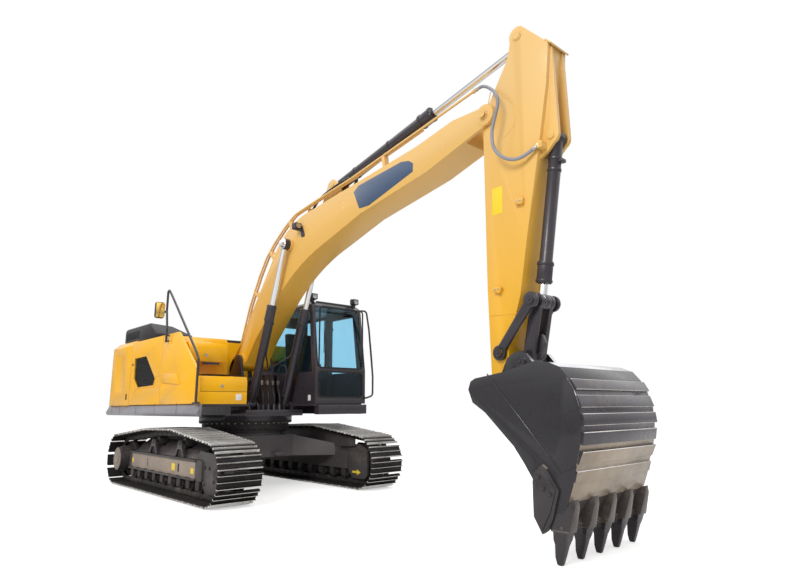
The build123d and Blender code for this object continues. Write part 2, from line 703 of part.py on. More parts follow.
# Right-hand guard rail beside the step, with the mirror on it.
rail_radius = 17
rail_y = -1410
rail_route = ((20, rail_y, 2200), (20, rail_y, 2420), (-38, rail_y, 2700), (-38, rail_y, 3055),
              (130, rail_y, 2915), (1164, rail_y, 1968), (1235, rail_y, 1880), (1235, rail_y, 1290))
with BuildPart() as handrail_right:
    add(tube(rail_route, rail_radius, (300, 60, 40, 60, 60, 60)))
    for foot_z in (2215, 2300):
        extrude(box_face(-5, 45, -1410, -side_y, foot_z), amount=16)
    extrude(box_face(1190, 1260, -1425, -side_y + 5, 1268), amount=24)
    extrude(box_face(1140, 1178, -1425, -side_y + 5, 1268), amount=24)
    extrude(box_face(1170, 1195, -1425, -side_y - 5, 1268), amount=24)
    # Mirror housing on its clamp, facing the cab.
    with BuildSketch(Plane.YZ.offset(-54)):
        with Locations((-1518, 2695)):
            RectangleRounded(150, 255, 35)
    extrude(amount=34, taper=10)
    with BuildSketch(Plane.YZ.offset(-54)):
        with Locations((-1434, 2676)):
            Rectangle(60, 34)
    extrude(amount=30)
handrail_right.part.label = "handrail_right"
export_step(handrail_right.part, "parts/handrail_right.step")

# ---------------------------------------------------------------- cab
pillar_low_z = 1800
cab_side = ((cab_rear, cab_low), (cab_front, cab_low), (cab_front, pillar_low_z), (1262, cab_top - 60),
            (1200, cab_top), (cab_rear + 60, cab_top), (cab_rear, cab_top - 60))
roof_thick = 70
window_top = cab_top - 90
floor_z = cab_low + floor_thick
cab_middle = (cab_left + cab_right) / 2
hinge_axis = (394, cab_left + 14)
door_hinges = (1500, 2560)
screens = ((1360, 1765), (1815, window_top))


def screen_face(x, shrink):
    """Windscreen openings seen from the front, on the plane through x."""
    with BuildSketch(Plane.YZ.offset(x)) as face:
        for z0, z1 in screens:
            with Locations((cab_middle, (z0 + z1) / 2)):
                RectangleRounded(cab_left - cab_right - 110 - shrink, z1 - z0 - shrink, 50)
    return face.sketch


def rear_face(x):
    """Rear window opening on the plane through x."""
    with BuildSketch(Plane.YZ.offset(x)) as face:
        with Locations((cab_middle, window_top - 440)):
            RectangleRounded(cab_left - cab_right - 200, 620, 50)
    return face.sketch


side_window = ((-330, 1760), (1290, 1760), (1190, window_top - 20), (-330, window_top - 20))
rear_light = ((-340, 1900), (310, 1900), (310, window_top - 20), (-340, window_top - 20))
with BuildPart() as cab_shell:
    extrude(outline(cab_side, at_y(cab_left)), amount=cab_left - cab_right)
    roof_edges = cab_shell.edges().filter_by(Axis.X).group_by(Axis.Z)[-1]
    chamfer(roof_edges, 45)
    inner = ((cab_rear + cab_wall, floor_z), (cab_front - cab_wall, floor_z),
             (cab_front - cab_wall, pillar_low_z), (1205, cab_top - roof_thick),
             (cab_rear + cab_wall, cab_top - roof_thick))
    extrude(outline(inner, at_y(cab_left - cab_wall)), amount=cab_left - cab_right - 2 * cab_wall,
            mode=Mode.SUBTRACT)
    extrude(screen_face(1100, 0), amount=400, mode=Mode.SUBTRACT)
    extrude(rear_face(cab_rear - 50), amount=200, mode=Mode.SUBTRACT)
    extrude(outline(side_window, at_y(cab_right + cab_wall + 20)), amount=100, mode=Mode.SUBTRACT)
    door_hole = ((400, cab_low + 60), (1310, cab_low + 60), (1310, 1830), (1180, window_top), (400, window_top))
    extrude(outline(door_hole, at_y(cab_left + 20)), amount=cab_wall + 40, mode=Mode.SUBTRACT)
    extrude(outline(rear_light, at_y(cab_left + 20)), amount=cab_wall + 40, mode=Mode.SUBTRACT)
    # Door hinges: fixed knuckles with their pins.
    for z in door_hinges:
        extrude(box_face(345, hinge_axis[0], cab_left - 5, hinge_axis[1] - 2, z - 42), amount=40)
        extrude(upright(barrel_large, *hinge_axis, z - 42), amount=40)
        extrude(upright(pin_small, *hinge_axis, z - 10), amount=48)
cab_shell.part.label = "cab_shell"
export_step(cab_shell.part, "parts/cab_shell.step")

with BuildPart() as cab_windows:
    extrude(screen_face(1100, 0), amount=400)
    screen_line = ((1385, 1265), (1393, 1265), (1393, pillar_low_z), (1258, window_top + 40),
                   (1250, window_top + 40), (1385, pillar_low_z))
    extrude(outline(screen_line, at_y(cab_left)), amount=cab_left - cab_right, mode=Mode.INTERSECT)
    extrude(rear_face(cab_rear + 12), amount=glass_thick)
    extrude(outline(side_window, at_y(cab_right + 20)), amount=glass_thick)
    extrude(outline(rear_light, at_y(cab_left - 12)), amount=glass_thick)
cab_windows.part.label = "cab_windows"
export_step(cab_windows.part, "parts/cab_windows.step")

door_thick = cab_wall
with BuildPart() as cab_door:
    leaf = ((406, cab_low + 66), (1304, cab_low + 66), (1304, 1828), (1175, window_top - 6),
            (406, window_top - 6))
    extrude(outline(leaf, at_y(cab_left)), amount=door_thick)
    pane = ((470, 1780), (1238, 1780), (1238, 1832), (1118, window_top - 70), (470, window_top - 70))
    extrude(outline(pane, at_y(cab_left + 5)), amount=door_thick + 10, mode=Mode.SUBTRACT)
    for z in door_hinges:
        extrude(upright(barrel_large, *hinge_axis, z), amount=40)
        extrude(box_face(hinge_axis[0], 470, cab_left + 2, cab_left + 14, z), amount=40)
        extrude(box_face(412, 470, cab_left - 5, cab_left + 5, z), amount=40)
        extrude(upright(pin_small + pin_fit, *hinge_axis, z - 1), amount=42, mode=Mode.SUBTRACT)
cab_door.part.label = "cab_door"
export_step(cab_door.part, "parts/cab_door.step")

with BuildPart() as door_glass:
    extrude(outline(pane, at_y(cab_left - 26)), amount=glass_thick)
door_glass.part.label = "cab_door_glass"
export_step(door_glass.part, "parts/cab_door_glass.step")

seat_z = 1680
with BuildPart() as seat:
    extrude(box_face(120, 640, 640, 1150, seat_z), amount=130)
    back = ((120, seat_z + 130), (260, seat_z + 130), (150, 2480), (30, 2480))
    extrude(outline(back, at_y(1130)), amount=470)
    extrude(box_face(200, 560, 720, 1070, floor_z), amount=seat_z - floor_z)
seat.part.label = "seat"
export_step(seat.part, "parts/seat.step")

# Consoles each side of the seat and the display beside the front pillar.
with BuildPart() as console:
    for y0, y1 in ((500, 620), (1170, 1260)):
        extrude(box_face(260, 640, y0, y1, floor_z), amount=1780 - floor_z)
        extrude(upright(14, 590, (y0 + y1) / 2, 1770), amount=150)
        extrude(upright(26, 590, (y0 + y1) / 2, 1900), amount=70)
    extrude(box_face(1150, 1180, cab_right + cab_wall, 650, 1660), amount=230)
console.part.label = "cab_console"
export_step(console.part, "parts/cab_console.step")

# Roof lamps with the rain strip between them.
lamp_rows = (458, 1298)
with BuildPart() as cab_lamps:
    for y in lamp_rows:
        extrude(box_face(1150, 1196, y - 30, y + 30, cab_top), amount=40)
        with BuildSketch(Plane.YZ.offset(1165)):
            with Locations((y, cab_top + 88)):
                RectangleRounded(130, 110, 22)
        extrude(amount=85, taper=6)
    extrude(box_face(1185, 1200, lamp_rows[0] + 60, lamp_rows[1] - 60, cab_top), amount=25)
cab_lamps.part.label = "cab_lamps"
export_step(cab_lamps.part, "parts/cab_lamps.step")

# Hand rail at the cab's front left corner.
with BuildPart() as cab_handrail:
    post_x = cab_front + 55
    rail = ((1271, 1142, 2822), (post_x, 1142, 2770), (post_x, 1360, 2790), (post_x, 1420, 2480),
            (post_x, 1470, 2050), (post_x, 1504, 1700), (post_x, 1500, 1395), (post_x, 1365, 1355),
            (cab_front, 1365, 1355))
    add(tube(rail, 15, (60, 60, 400, 400, 400, 60, 25)))
cab_handrail.part.label = "cab_handrail"
export_step(cab_handrail.part, "parts/cab_handrail.step")

# ---------------------------------------------------------------- working equipment
# Hose and pipe routes, in their own planes' x and z unless y is given.
hose_radius = 18
pipe_radius = 15
pipe_line = ((-150, 2020), (70, 2240), (320, 2835), (600, 3300), (800, 3570), (1030, 3765), (1340, 3965),
             (1620, 4100), (2200, 4175), (3000, 4260), (4380, 4474), (5250, 4613))
pipe_bends = (150, 200, 500, 500, 500, 500, 500, 500, 500, 500)
pipe_posts = (2, 4, 6, 9)     # runs of the line that a clamp post stands under
tip_hose = ((5250, -190, 4613), (5322, -190, 4624.5), (5402, -200, 4580), (5488, -226, 4499), (5582, -270, 4387),
            (5622, -300, 4257), (5573, -310, 4106), (5522, -310, 3958), (5529, -300, 3793),
            (5601, -285, 3686), (5703, -260, 3615), (5805, -235, 3606), (5892, -211, 3641), (5978, -190, 3688))
arm_hose = ((1960, 100, 4100), (2040, 108, 4152), (2150, 122, 4205), (2290, 136, 4240), (2440, 142, 4262),
            (2560, 143, 4280), (2645, 136, 4302), (2722, 105, 4332))
arm_hose_block = (1880, 1945, 4020, 4135)

foot_boss_half = 240
tip_pin_radius = 50
fork_inner_half = arm_half + fork_gap
with BuildPart() as boom:
    with BuildSketch(at_y(boom_half)):
        with BuildLine():
            top = Polyline((10, 2010), (207, 2468), (592, 2946), (1150, 3655))
            bend = ThreePointArc((1150, 3655), (1500, 3905), (2004, 4042))
            crown = Polyline((2004, 4042), (2766, 4119), (4295, 4267), (4897, 4375), (5400, 4355))
            nose = Polyline((5400, 4355), (5462, 4300), (5462, 4210), (5326, 4130), (4795, 3985),
                            (4481, 3899), (3239, 3700), (2418, 3470))
            belly = ThreePointArc((2418, 3470), (1770, 3228), (1208, 2860))
            throat = Polyline((1208, 2860), (586, 2282), (270, 1900), (150, 1850), (10, 2010))
        make_face()
    extrude(amount=2 * boom_half)
    extrude(disc(140, boom_foot, foot_boss_half), amount=2 * foot_boss_half)
    extrude(disc(foot_pin_radius + pin_fit, boom_foot, foot_boss_half + 5), amount=2 * foot_boss_half + 10,
            mode=Mode.SUBTRACT)
    extrude(disc(118, boom_tip, fork_half), amount=2 * fork_half)
    slot = ((5060, 3800), (5600, 3800), (5600, 4600), (5060, 4600))
    extrude(outline(slot, at_y(fork_inner_half)), amount=2 * fork_inner_half, mode=Mode.SUBTRACT)
    extrude(disc(tip_pin_radius, boom_tip, fork_half + 15), amount=2 * fork_half + 30)
    extrude(disc(95, boom_rod_pin, cylinder_y - 50), amount=2 * (cylinder_y - 50))
    for _, sign in SIDES:
        lug = ((2200, 4040), (2760, 4090), (2570, 4390), (2480, 4440), (2390, 4400))
        extrude(slab(lug, sign, 87, 117), amount=30)
        # Clamp posts under the pipes, and the block that feeds the arm cylinder's hose.
        for index in pipe_posts:
            first = Vector(pipe_line[index][0], 0, pipe_line[index][1])
            second = Vector(pipe_line[index + 1][0], 0, pipe_line[index + 1][1])
            along = (second - first).normalized()
            across = Vector(along.Z, 0, -along.X)
            middle = (first + second) * 0.5
            corners = [middle + across * (pipe_radius + 0.2) + along * 24,
                       middle + across * (pipe_radius + 0.2) - along * 24,
                       middle + across * 240 - along * 24, middle + across * 240 + along * 24]
            post = [(corner.X, corner.Z) for corner in corners]
            extrude(slab(post, sign, pipe_rows[1] - 20, boom_half), amount=boom_half - pipe_rows[1] + 20)
        x0, x1, z0, z1 = arm_hose_block
        block = ((x0, z0), (x1, z0), (x1, z1), (x0, z1))
        extrude(slab(block, sign, 70, 130), amount=60)
        start = [(x, sign * y, z) for x, y, z in arm_hose[:2]]
        add(nipple(start[0], start[1], 21, 45))
    extrude(disc(base_pin_radius, arm_base_pin, 125), amount=250)
boom.part.label = "boom"
export_step(boom.part, "parts/boom.step")

with BuildPart() as boom_pipes:
    for _, sign in SIDES:
        for row, last in ((pipe_rows[0], len(pipe_line)), (pipe_rows[1], len(pipe_line) - 1)):
            line = [(x, sign * row, z) for x, z in pipe_line[:last]]
            add(tube(line, pipe_radius, pipe_bends[:last - 2]))
            add(nipple(line[0], line[1], 23, -46))
    add(nipple(tip_hose[0], tip_hose[1], 23, 50))
boom_pipes.part.label = "boom_pipes"
export_step(boom_pipes.part, "parts/boom_pipes.step")

with BuildPart() as boom_lamp:
    foot = ((1850, 3690), (1930, 3690), (1930, 3720), (1875, 3850), (1820, 3850))
    extrude(slab(foot, -1, boom_half, boom_half + 14), amount=14)
    extrude(box_face(1815, 1865, -300, -boom_half, 3786), amount=20)
    with BuildSketch(Plane.YZ.offset(1785)):
        with Locations((-283, 3850)):
            RectangleRounded(120, 104, 20)
    extrude(amount=90, taper=5)
boom_lamp.part.label = "boom_lamp"
export_step(boom_lamp.part, "parts/boom_lamp.step")

slot_half = 62
with BuildPart() as arm:
    arm_face = ((5862, 5084), (5700, 4965), (5659, 4796), (5391, 4390), (5300, 4109), (5290, 3248),
                (5275, 2369), (5285, 1380), (5345, 1255), (5480, 1250), (5490, 1420), (5508, 1794),
                (5672, 2258), (5773, 2765), (5964, 3631), (6106, 4333), (6155, 4750))
    extrude(outline(arm_face, at_y(arm_half)), amount=2 * arm_half)
    extrude(disc(100, arm_rod_pin, arm_half), amount=2 * arm_half)
    extrude(disc(125, boom_tip, arm_half), amount=2 * arm_half)
    extrude(disc(tip_pin_radius + pin_fit, boom_tip, arm_half + 5), amount=2 * arm_half + 10,
            mode=Mode.SUBTRACT)
    top_slot = ((5400, 4700), (5560, 4700), (5680, 4810), (5900, 4825), (6040, 4840), (6040, 5250),
                (5400, 5250))
    extrude(outline(top_slot, at_y(slot_half)), amount=2 * slot_half, mode=Mode.SUBTRACT)
    for _, sign in SIDES:
        lug = ((5950, 3585), (6050, 3640), (6125, 3711), (6177, 3790), (6178, 3840), (6166, 4735),
               (6130, 4690), (5990, 3790))
        extrude(slab(lug, sign, 75, 113), amount=38)
        extrude(puck(87, bucket_base_pin, sign, 75, 113), amount=38)
        extrude(puck(58, arm_rod_pin, sign, slot_half + 20, arm_half + 10), amount=arm_half - slot_half - 10)
    lip = ((6120, 4790), (6178, 4724), (6190, 4735), (6132, 4801))
    extrude(outline(lip, at_y(arm_half + 6)), amount=2 * (arm_half + 6))
    extrude(disc(base_pin_radius, bucket_base_pin, 125), amount=250)
    extrude(disc(40, rocker_pin, 212), amount=424)
    extrude(disc(45, bucket_pin, 225), amount=450)
    # Hose fitting beside the bucket cylinder's foot.
    add(nipple(tip_hose[-1], tip_hose[-2], 23, 44))
    extrude(box_face(5990, 6040, -205, -110, 3660), amount=70)
arm.part.label = "arm"
export_step(arm.part, "parts/arm.step")


head_step = 11


def barrel_solid(base, rod_end, gland, radius, bore, y, eye_half, pin, head):
    """Cylinder barrel from its base eye to its thicker head, bored for the rod."""
    run = Vector(rod_end[0] - base[0], 0, rod_end[1] - base[1]).normalized()
    start = Vector(base[0], y, base[1])
    with BuildPart() as solid:
        with BuildSketch(Plane(origin=start + run * 44, z_dir=run)):
            Circle(radius)
        extrude(amount=gland - 44)
        with BuildSketch(Plane(origin=start + run * (gland - head), z_dir=run)):
            Circle(radius + head_step)
        extrude(amount=head)
        with BuildSketch(Plane(origin=start + run * 110, z_dir=run)):
            Circle(bore)
        extrude(amount=gland, mode=Mode.SUBTRACT)
        with BuildSketch(at_y(y + eye_half)):
            with Locations(base):
                Circle(pin + 32)
        extrude(amount=2 * eye_half)
        with BuildSketch(at_y(y + eye_half + 2)):
            with Locations(base):
                Circle(pin + pin_fit)
        extrude(amount=2 * eye_half + 4, mode=Mode.SUBTRACT)
    return solid.part


def rod_solid(base, rod_end, inner_end, radius, y, eye_half, eye_radius):
    """Rod from its piston end inside the barrel to its eye."""
    reach = Vector(rod_end[0] - base[0], 0, rod_end[1] - base[1])
    run = reach.normalized()
    start = Vector(base[0], y, base[1]) + run * inner_end
    with BuildPart() as solid:
        with BuildSketch(Plane(origin=start, z_dir=run)):
            Circle(radius)
        extrude(amount=reach.length - inner_end)
        with BuildSketch(at_y(y + eye_half)):
            with Locations(rod_end):
                Circle(eye_radius)
        extrude(amount=2 * eye_half)
    return solid.part


boom_gland = 1560
boom_inner = 870
boom_rod_radius = 42
port_size = 40
line_offset = 77            # pipe along a boom cylinder, from the cylinder's axis
long_port = 1270            # ports along the barrel, from the base pin
short_port = 170
boom_reach = Vector(boom_rod_pin[0] - boom_base_pin[0], 0, boom_rod_pin[1] - boom_base_pin[1])
boom_run = boom_reach.normalized()


def beside_barrel(distance, sign):
    """Point on the line of pipes along a boom cylinder's inner side."""
    spot = Vector(boom_base_pin[0], sign * (cylinder_y - line_offset), boom_base_pin[1]) + boom_run * distance
    return (spot.X, spot.Y, spot.Z)


for side, sign in SIDES:
    with BuildPart() as boom_barrel:
        add(barrel_solid(boom_base_pin, boom_rod_pin, boom_gland, barrel_radius, boom_rod_radius + pin_fit,
                         sign * cylinder_y, base_eye_half, base_pin_radius, 240))
        for distance in (long_port, short_port - port_size):
            spot = Vector(boom_base_pin[0], sign * (cylinder_y - 66), boom_base_pin[1]) + boom_run * distance
            with BuildSketch(Plane(origin=spot, x_dir=(0, 1, 0), z_dir=boom_run)):
                Rectangle(44, port_size)
            extrude(amount=port_size)
    boom_barrel.part.label = f"boom_barrel_{side}"
    export_step(boom_barrel.part, f"parts/boom_barrel_{side}.step")
    with BuildPart() as boom_rod:
        add(rod_solid(boom_base_pin, boom_rod_pin, boom_inner, boom_rod_radius, sign * cylinder_y, 44, 85))
        extrude(puck(52, boom_rod_pin, sign, cylinder_y + 40, cylinder_y + 84), amount=44)
    boom_rod.part.label = f"boom_rod_{side}"
    export_step(boom_rod.part, f"parts/boom_rod_{side}.step")

# Pipes that ride on the boom cylinders, with their clamp bars.
riser_x = 720
riser_low = 1600
fitting_low = 1556
with BuildPart() as cylinder_pipes:
    for _, sign in SIDES:
        short_line = ((riser_x, sign * 147, riser_low), (riser_x, sign * 147, 1800),
                      (765, sign * 160, 1872), (845, sign * 200, 1866), beside_barrel(520, sign),
                      beside_barrel(short_port, sign))
        add(tube(short_line, 11, (40, 40, 40, 40)))
        long_line = ((riser_x, sign * 50, riser_low), (riser_x, sign * 50, 1850), beside_barrel(800, sign),
                     beside_barrel(long_port, sign))
        add(tube(long_line, 11, (50, 60)))
        for y in (147, 50):
            extrude(upright(22, riser_x, sign * y, fitting_low), amount=85)
        extrude(box_face(riser_x - 8, 872, *sorted((sign * 160, sign * 172)), 1715), amount=40)
        extrude(box_face(850, 872, *sorted((sign * 160, sign * 237.5)), 1715), amount=40)
    for x in (riser_x - 18, riser_x + 6):
        extrude(box_face(x, x + 12, -172, 172, 1715), amount=40)
cylinder_pipes.part.label = "cylinder_pipes"
export_step(cylinder_pipes.part, "parts/cylinder_pipes.step")

arm_gland = 1960
arm_inner = 1400
with BuildPart() as arm_barrel:
    add(barrel_solid(arm_base_pin, arm_rod_pin, arm_gland, 78, 50 + pin_fit, 0, 82, base_pin_radius, 210))
    for _, sign in SIDES:
        end = [(x, sign * y, z) for x, y, z in arm_hose[-2:]]
        add(nipple(end[1], end[0], 21, 118))
arm_barrel.part.label = "arm_barrel"
export_step(arm_barrel.part, "parts/arm_barrel.step")
with BuildPart() as arm_rod:
    add(rod_solid(arm_base_pin, arm_rod_pin, arm_inner, 50, 0, 52, 88))
arm_rod.part.label = "arm_rod"
export_step(arm_rod.part, "parts/arm_rod.step")

bucket_gland = 1440
bucket_inner = 300
with BuildPart() as bucket_barrel:
    add(barrel_solid(bucket_base_pin, link_top_pin, bucket_gland, 64, 42 + pin_fit, 0, 68, base_pin_radius, 210))
bucket_barrel.part.label = "bucket_barrel"
export_step(bucket_barrel.part, "parts/bucket_barrel.step")
with BuildPart() as bucket_rod:
    add(rod_solid(bucket_base_pin, link_top_pin, bucket_inner, 42, 0, 48, 80))
bucket_rod.part.label = "bucket_rod"
export_step(bucket_rod.part, "parts/bucket_rod.step")

# ---------------------------------------------------------------- hoses
def hose(name, routes):
    """Export a node of hoses and print each hose's bend radii and lengths."""
    with BuildPart() as solid:
        for route in routes:
            radii = largest_bends(route)
            part = tube(route, hose_radius, radii)
            add(part)
            length = part.volume / (math.pi * hose_radius ** 2)
            print(name, "radii", [round(radius) for radius in radii], "length", round(length))
    solid.part.label = name
    export_step(solid.part, f"parts/{name}.step")


front_line = ((790, 1262), (790, 1318), (783, 1388), (752, 1450), (720, 1502), (720, fitting_low))
hose("cylinder_hoses", [[(x, y, z) for x, z in front_line] for y in hose_rows])
foot_routes = [[(x, sign * row, z) for x, z in foot_line] for _, sign in SIDES for row in pipe_rows]
hose("foot_hoses", foot_routes)
hose("tip_hose", [tip_hose])
hose("arm_hoses", [[(x, sign * y, z) for x, y, z in arm_hose] for _, sign in SIDES])

# ---------------------------------------------------------------- bucket linkage
link_arm_y = 85         # middle of the link's two upper arms
link_arm_thick = 56
rocker_y = 185          # middle of each rocker plate
rocker_thick = 36


def strap(first, second, radius_first, radius_second, waist):
    """Plate outline with round ends about two pins and a narrower waist."""
    with BuildSketch(Plane.XZ) as face:
        with Locations(first, second):
            Circle(waist / 2)
        make_hull()
        with Locations(first):
            Circle(radius_first)
        with Locations(second):
            Circle(radius_second)
    return face.sketch


with BuildPart() as rockers:
    for _, sign in SIDES:
        plate_left = sign * rocker_y + rocker_thick / 2
        with Locations((0, plate_left, 0)):
            add(extrude(strap(rocker_pin, link_top_pin, 75, 80, 92), amount=rocker_thick, mode=Mode.PRIVATE))
        extrude(puck(45, link_top_pin, sign, rocker_y, rocker_y + 30), amount=30)
        extrude(disc(40 + pin_fit, rocker_pin, plate_left + 2), amount=rocker_thick + 4, mode=Mode.SUBTRACT)
rockers.part.label = "rocker_pair"
export_step(rockers.part, "parts/rocker_pair.step")

with BuildPart() as link:
    with BuildSketch(at_y(link_arm_y + link_arm_thick / 2)):
        with Locations(link_top_pin, link_low_pin):
            Circle(55)
        make_hull()
        with Locations(link_top_pin):
            Circle(78)
        with Locations(link_low_pin):
            Circle(66)
    extrude(amount=2 * link_arm_y + link_arm_thick)
    hump = ((5690, 1600), (5775, 1665), (5830, 1790), (5800, 1870), (5720, 1880), (5680, 1700))
    extrude(outline(hump, at_y(20)), amount=40)
    # The gap between the two upper arms, for the rod's eye.
    for y_left in (link_arm_y - link_arm_thick / 2, -20):
        gap = ((5560, 1700), (5890, 1700), (5900, 2400), (5560, 2400))
        extrude(outline(gap, at_y(y_left)), amount=link_arm_y - link_arm_thick / 2 - 20, mode=Mode.SUBTRACT)
    upper_gap = ((5560, 1880), (6000, 1880), (6000, 2400), (5560, 2400))
    extrude(outline(upper_gap, at_y(link_arm_y - link_arm_thick / 2)), amount=2 * link_arm_y - link_arm_thick,
            mode=Mode.SUBTRACT)
    extrude(disc(45 + pin_fit, link_low_pin, 130), amount=260, mode=Mode.SUBTRACT)
link.part.label = "h_link"
export_step(link.part, "parts/h_link.step")

# ---------------------------------------------------------------- bucket
# Shell of constant wall, open towards the front edge, between two side plates.
bucket_wall = 25
ear_thick = 50
ear_in = arm_half + 5
strip_proud = 14
shell_out = ((5372, 1360), (5400, 1430), (5454, 1457), (5793, 1502), (6092, 1575), (6235, 1560), (6342, 1517),
             (6416, 1430), (6461, 1337), (6505, 1199), (6511, 1076), (6492, 921), (6442, 754), (6398, 598),
             (6349, 475), (6225, 296), (6130, 330), (6029, 627), (5950, 749), (5856, 875), (5718, 1005),
             (5559, 1153), (5418, 1242))
cavity = ((5365, 1240), (5480, 1432), (5800, 1474), (6092, 1548), (6222, 1534), (6322, 1496), (6392, 1416),
          (6436, 1330), (6480, 1195), (6486, 1080), (6467, 927), (6418, 763), (6374, 608),
          (6326, 487), (6205, 330), (6190, 280), (6000, 200), (5700, 700), (5300, 1000))
strips = (((6444, 1415), (6487, 1336)), ((6489, 1288), (6520, 1197)), ((6526, 1145), (6535, 1057)),
          ((6526, 1005), (6507, 908)), ((6503, 857), (6458, 762)), ((6444, 711), (6418, 627)))
cutter = ((6145, 746), (6184, 718), (6286, 558), (6220, 344), (6163, 249), (6115, 219), (6042, 344),
          (6047, 607), (6057, 671))
wear_plate = ((6406, 1428), (6364, 1398), (6333, 1291), (6332, 1039), (6254, 835), (6262, 788), (6330, 700),
              (6442, 754), (6492, 921), (6508, 1076), (6502, 1199), (6461, 1337))
tooth_pitch = (bucket_half - 40) / 2
adapter = ((6325, 470), (6398, 500), (6400, 440), (6345, 250), (6188, 250), (6140, 330), (6200, 395))
tip = ((6205, 256), (6330, 256), (6262, 60), (6240, 0), (6204, 0), (6192, 60))
adapter_face = ((-24, 520), (24, 520), (54, 266), (54, 240), (-54, 240), (-54, 266))
tip_face = ((-58, 268), (58, 268), (50, 190), (30, 150), (22, 12), (14, 0), (-14, 0), (-22, 12), (-30, 150),
            (-50, 190))


def tooth_solid(profile, face, y):
    """Side profile cut to the shape seen from in front."""
    with BuildPart() as solid:
        extrude(outline(profile, at_y(y + 80)), amount=160)
        with BuildSketch(Plane.YZ.offset(6000)):
            Polygon(*[(y + across, z) for across, z in face], align=None)
        extrude(amount=500, mode=Mode.INTERSECT)
    return solid.part


with BuildPart() as bucket:
    extrude(outline(shell_out, at_y(bucket_half)), amount=2 * bucket_half)
    extrude(outline(cavity, at_y(bucket_half - bucket_wall)), amount=2 * (bucket_half - bucket_wall),
            mode=Mode.SUBTRACT)
    notch = ((5200, 1100), (bucket_pin[0] + 150, 1100), (bucket_pin[0] + 150, 1700), (5200, 1700))
    extrude(outline(notch, at_y(ear_in + ear_thick + 23)), amount=2 * (ear_in + ear_thick + 23),
            mode=Mode.SUBTRACT)
    for _, sign in SIDES:
        ear = ((5330, 1330), (5345, 1262), (5420, 1240), (5497, 1290), (5560, 1440), (5800, 1480), (5812, 1600),
               (5735, 1690), (5671, 1719), (5582, 1694), (5521, 1658), (5400, 1430))
        extrude(slab(ear, sign, ear_in, ear_in + ear_thick), amount=ear_thick)
        extrude(puck(45 + pin_fit, bucket_pin, sign, ear_in - 2, ear_in + ear_thick + 2), amount=ear_thick + 4,
                mode=Mode.SUBTRACT)
        extrude(puck(62, link_low_pin, sign, ear_in, ear_in + ear_thick + 12), amount=ear_thick + 12)
        # Side cutters, wear plates and rubbing strips.
        extrude(slab(cutter, sign, bucket_half, bucket_half + 30), amount=30)
        extrude(slab(wear_plate, sign, bucket_half, bucket_half + 8), amount=8)
    extrude(disc(45, link_low_pin, arm_half + 10), amount=2 * (arm_half + 10))
    for first, second in strips:
        run = (Vector(*second) - Vector(*first)).normalized()
        corner_a = (first[0] - strip_proud * 2 * abs(run.Y), first[1] - strip_proud * 2 * run.X)
        corner_b = (second[0] - strip_proud * 2 * abs(run.Y), second[1] - strip_proud * 2 * run.X)
        extrude(outline((first, second, corner_b, corner_a), at_y(bucket_half)), amount=2 * bucket_half)
    for index in range(5):
        y = (index - 2) * tooth_pitch
        add(tooth_solid(adapter, adapter_face, y))
        add(tooth_solid(tip, tip_face, y))
bucket.part.label = "bucket"
export_step(bucket.part, "parts/bucket.step")
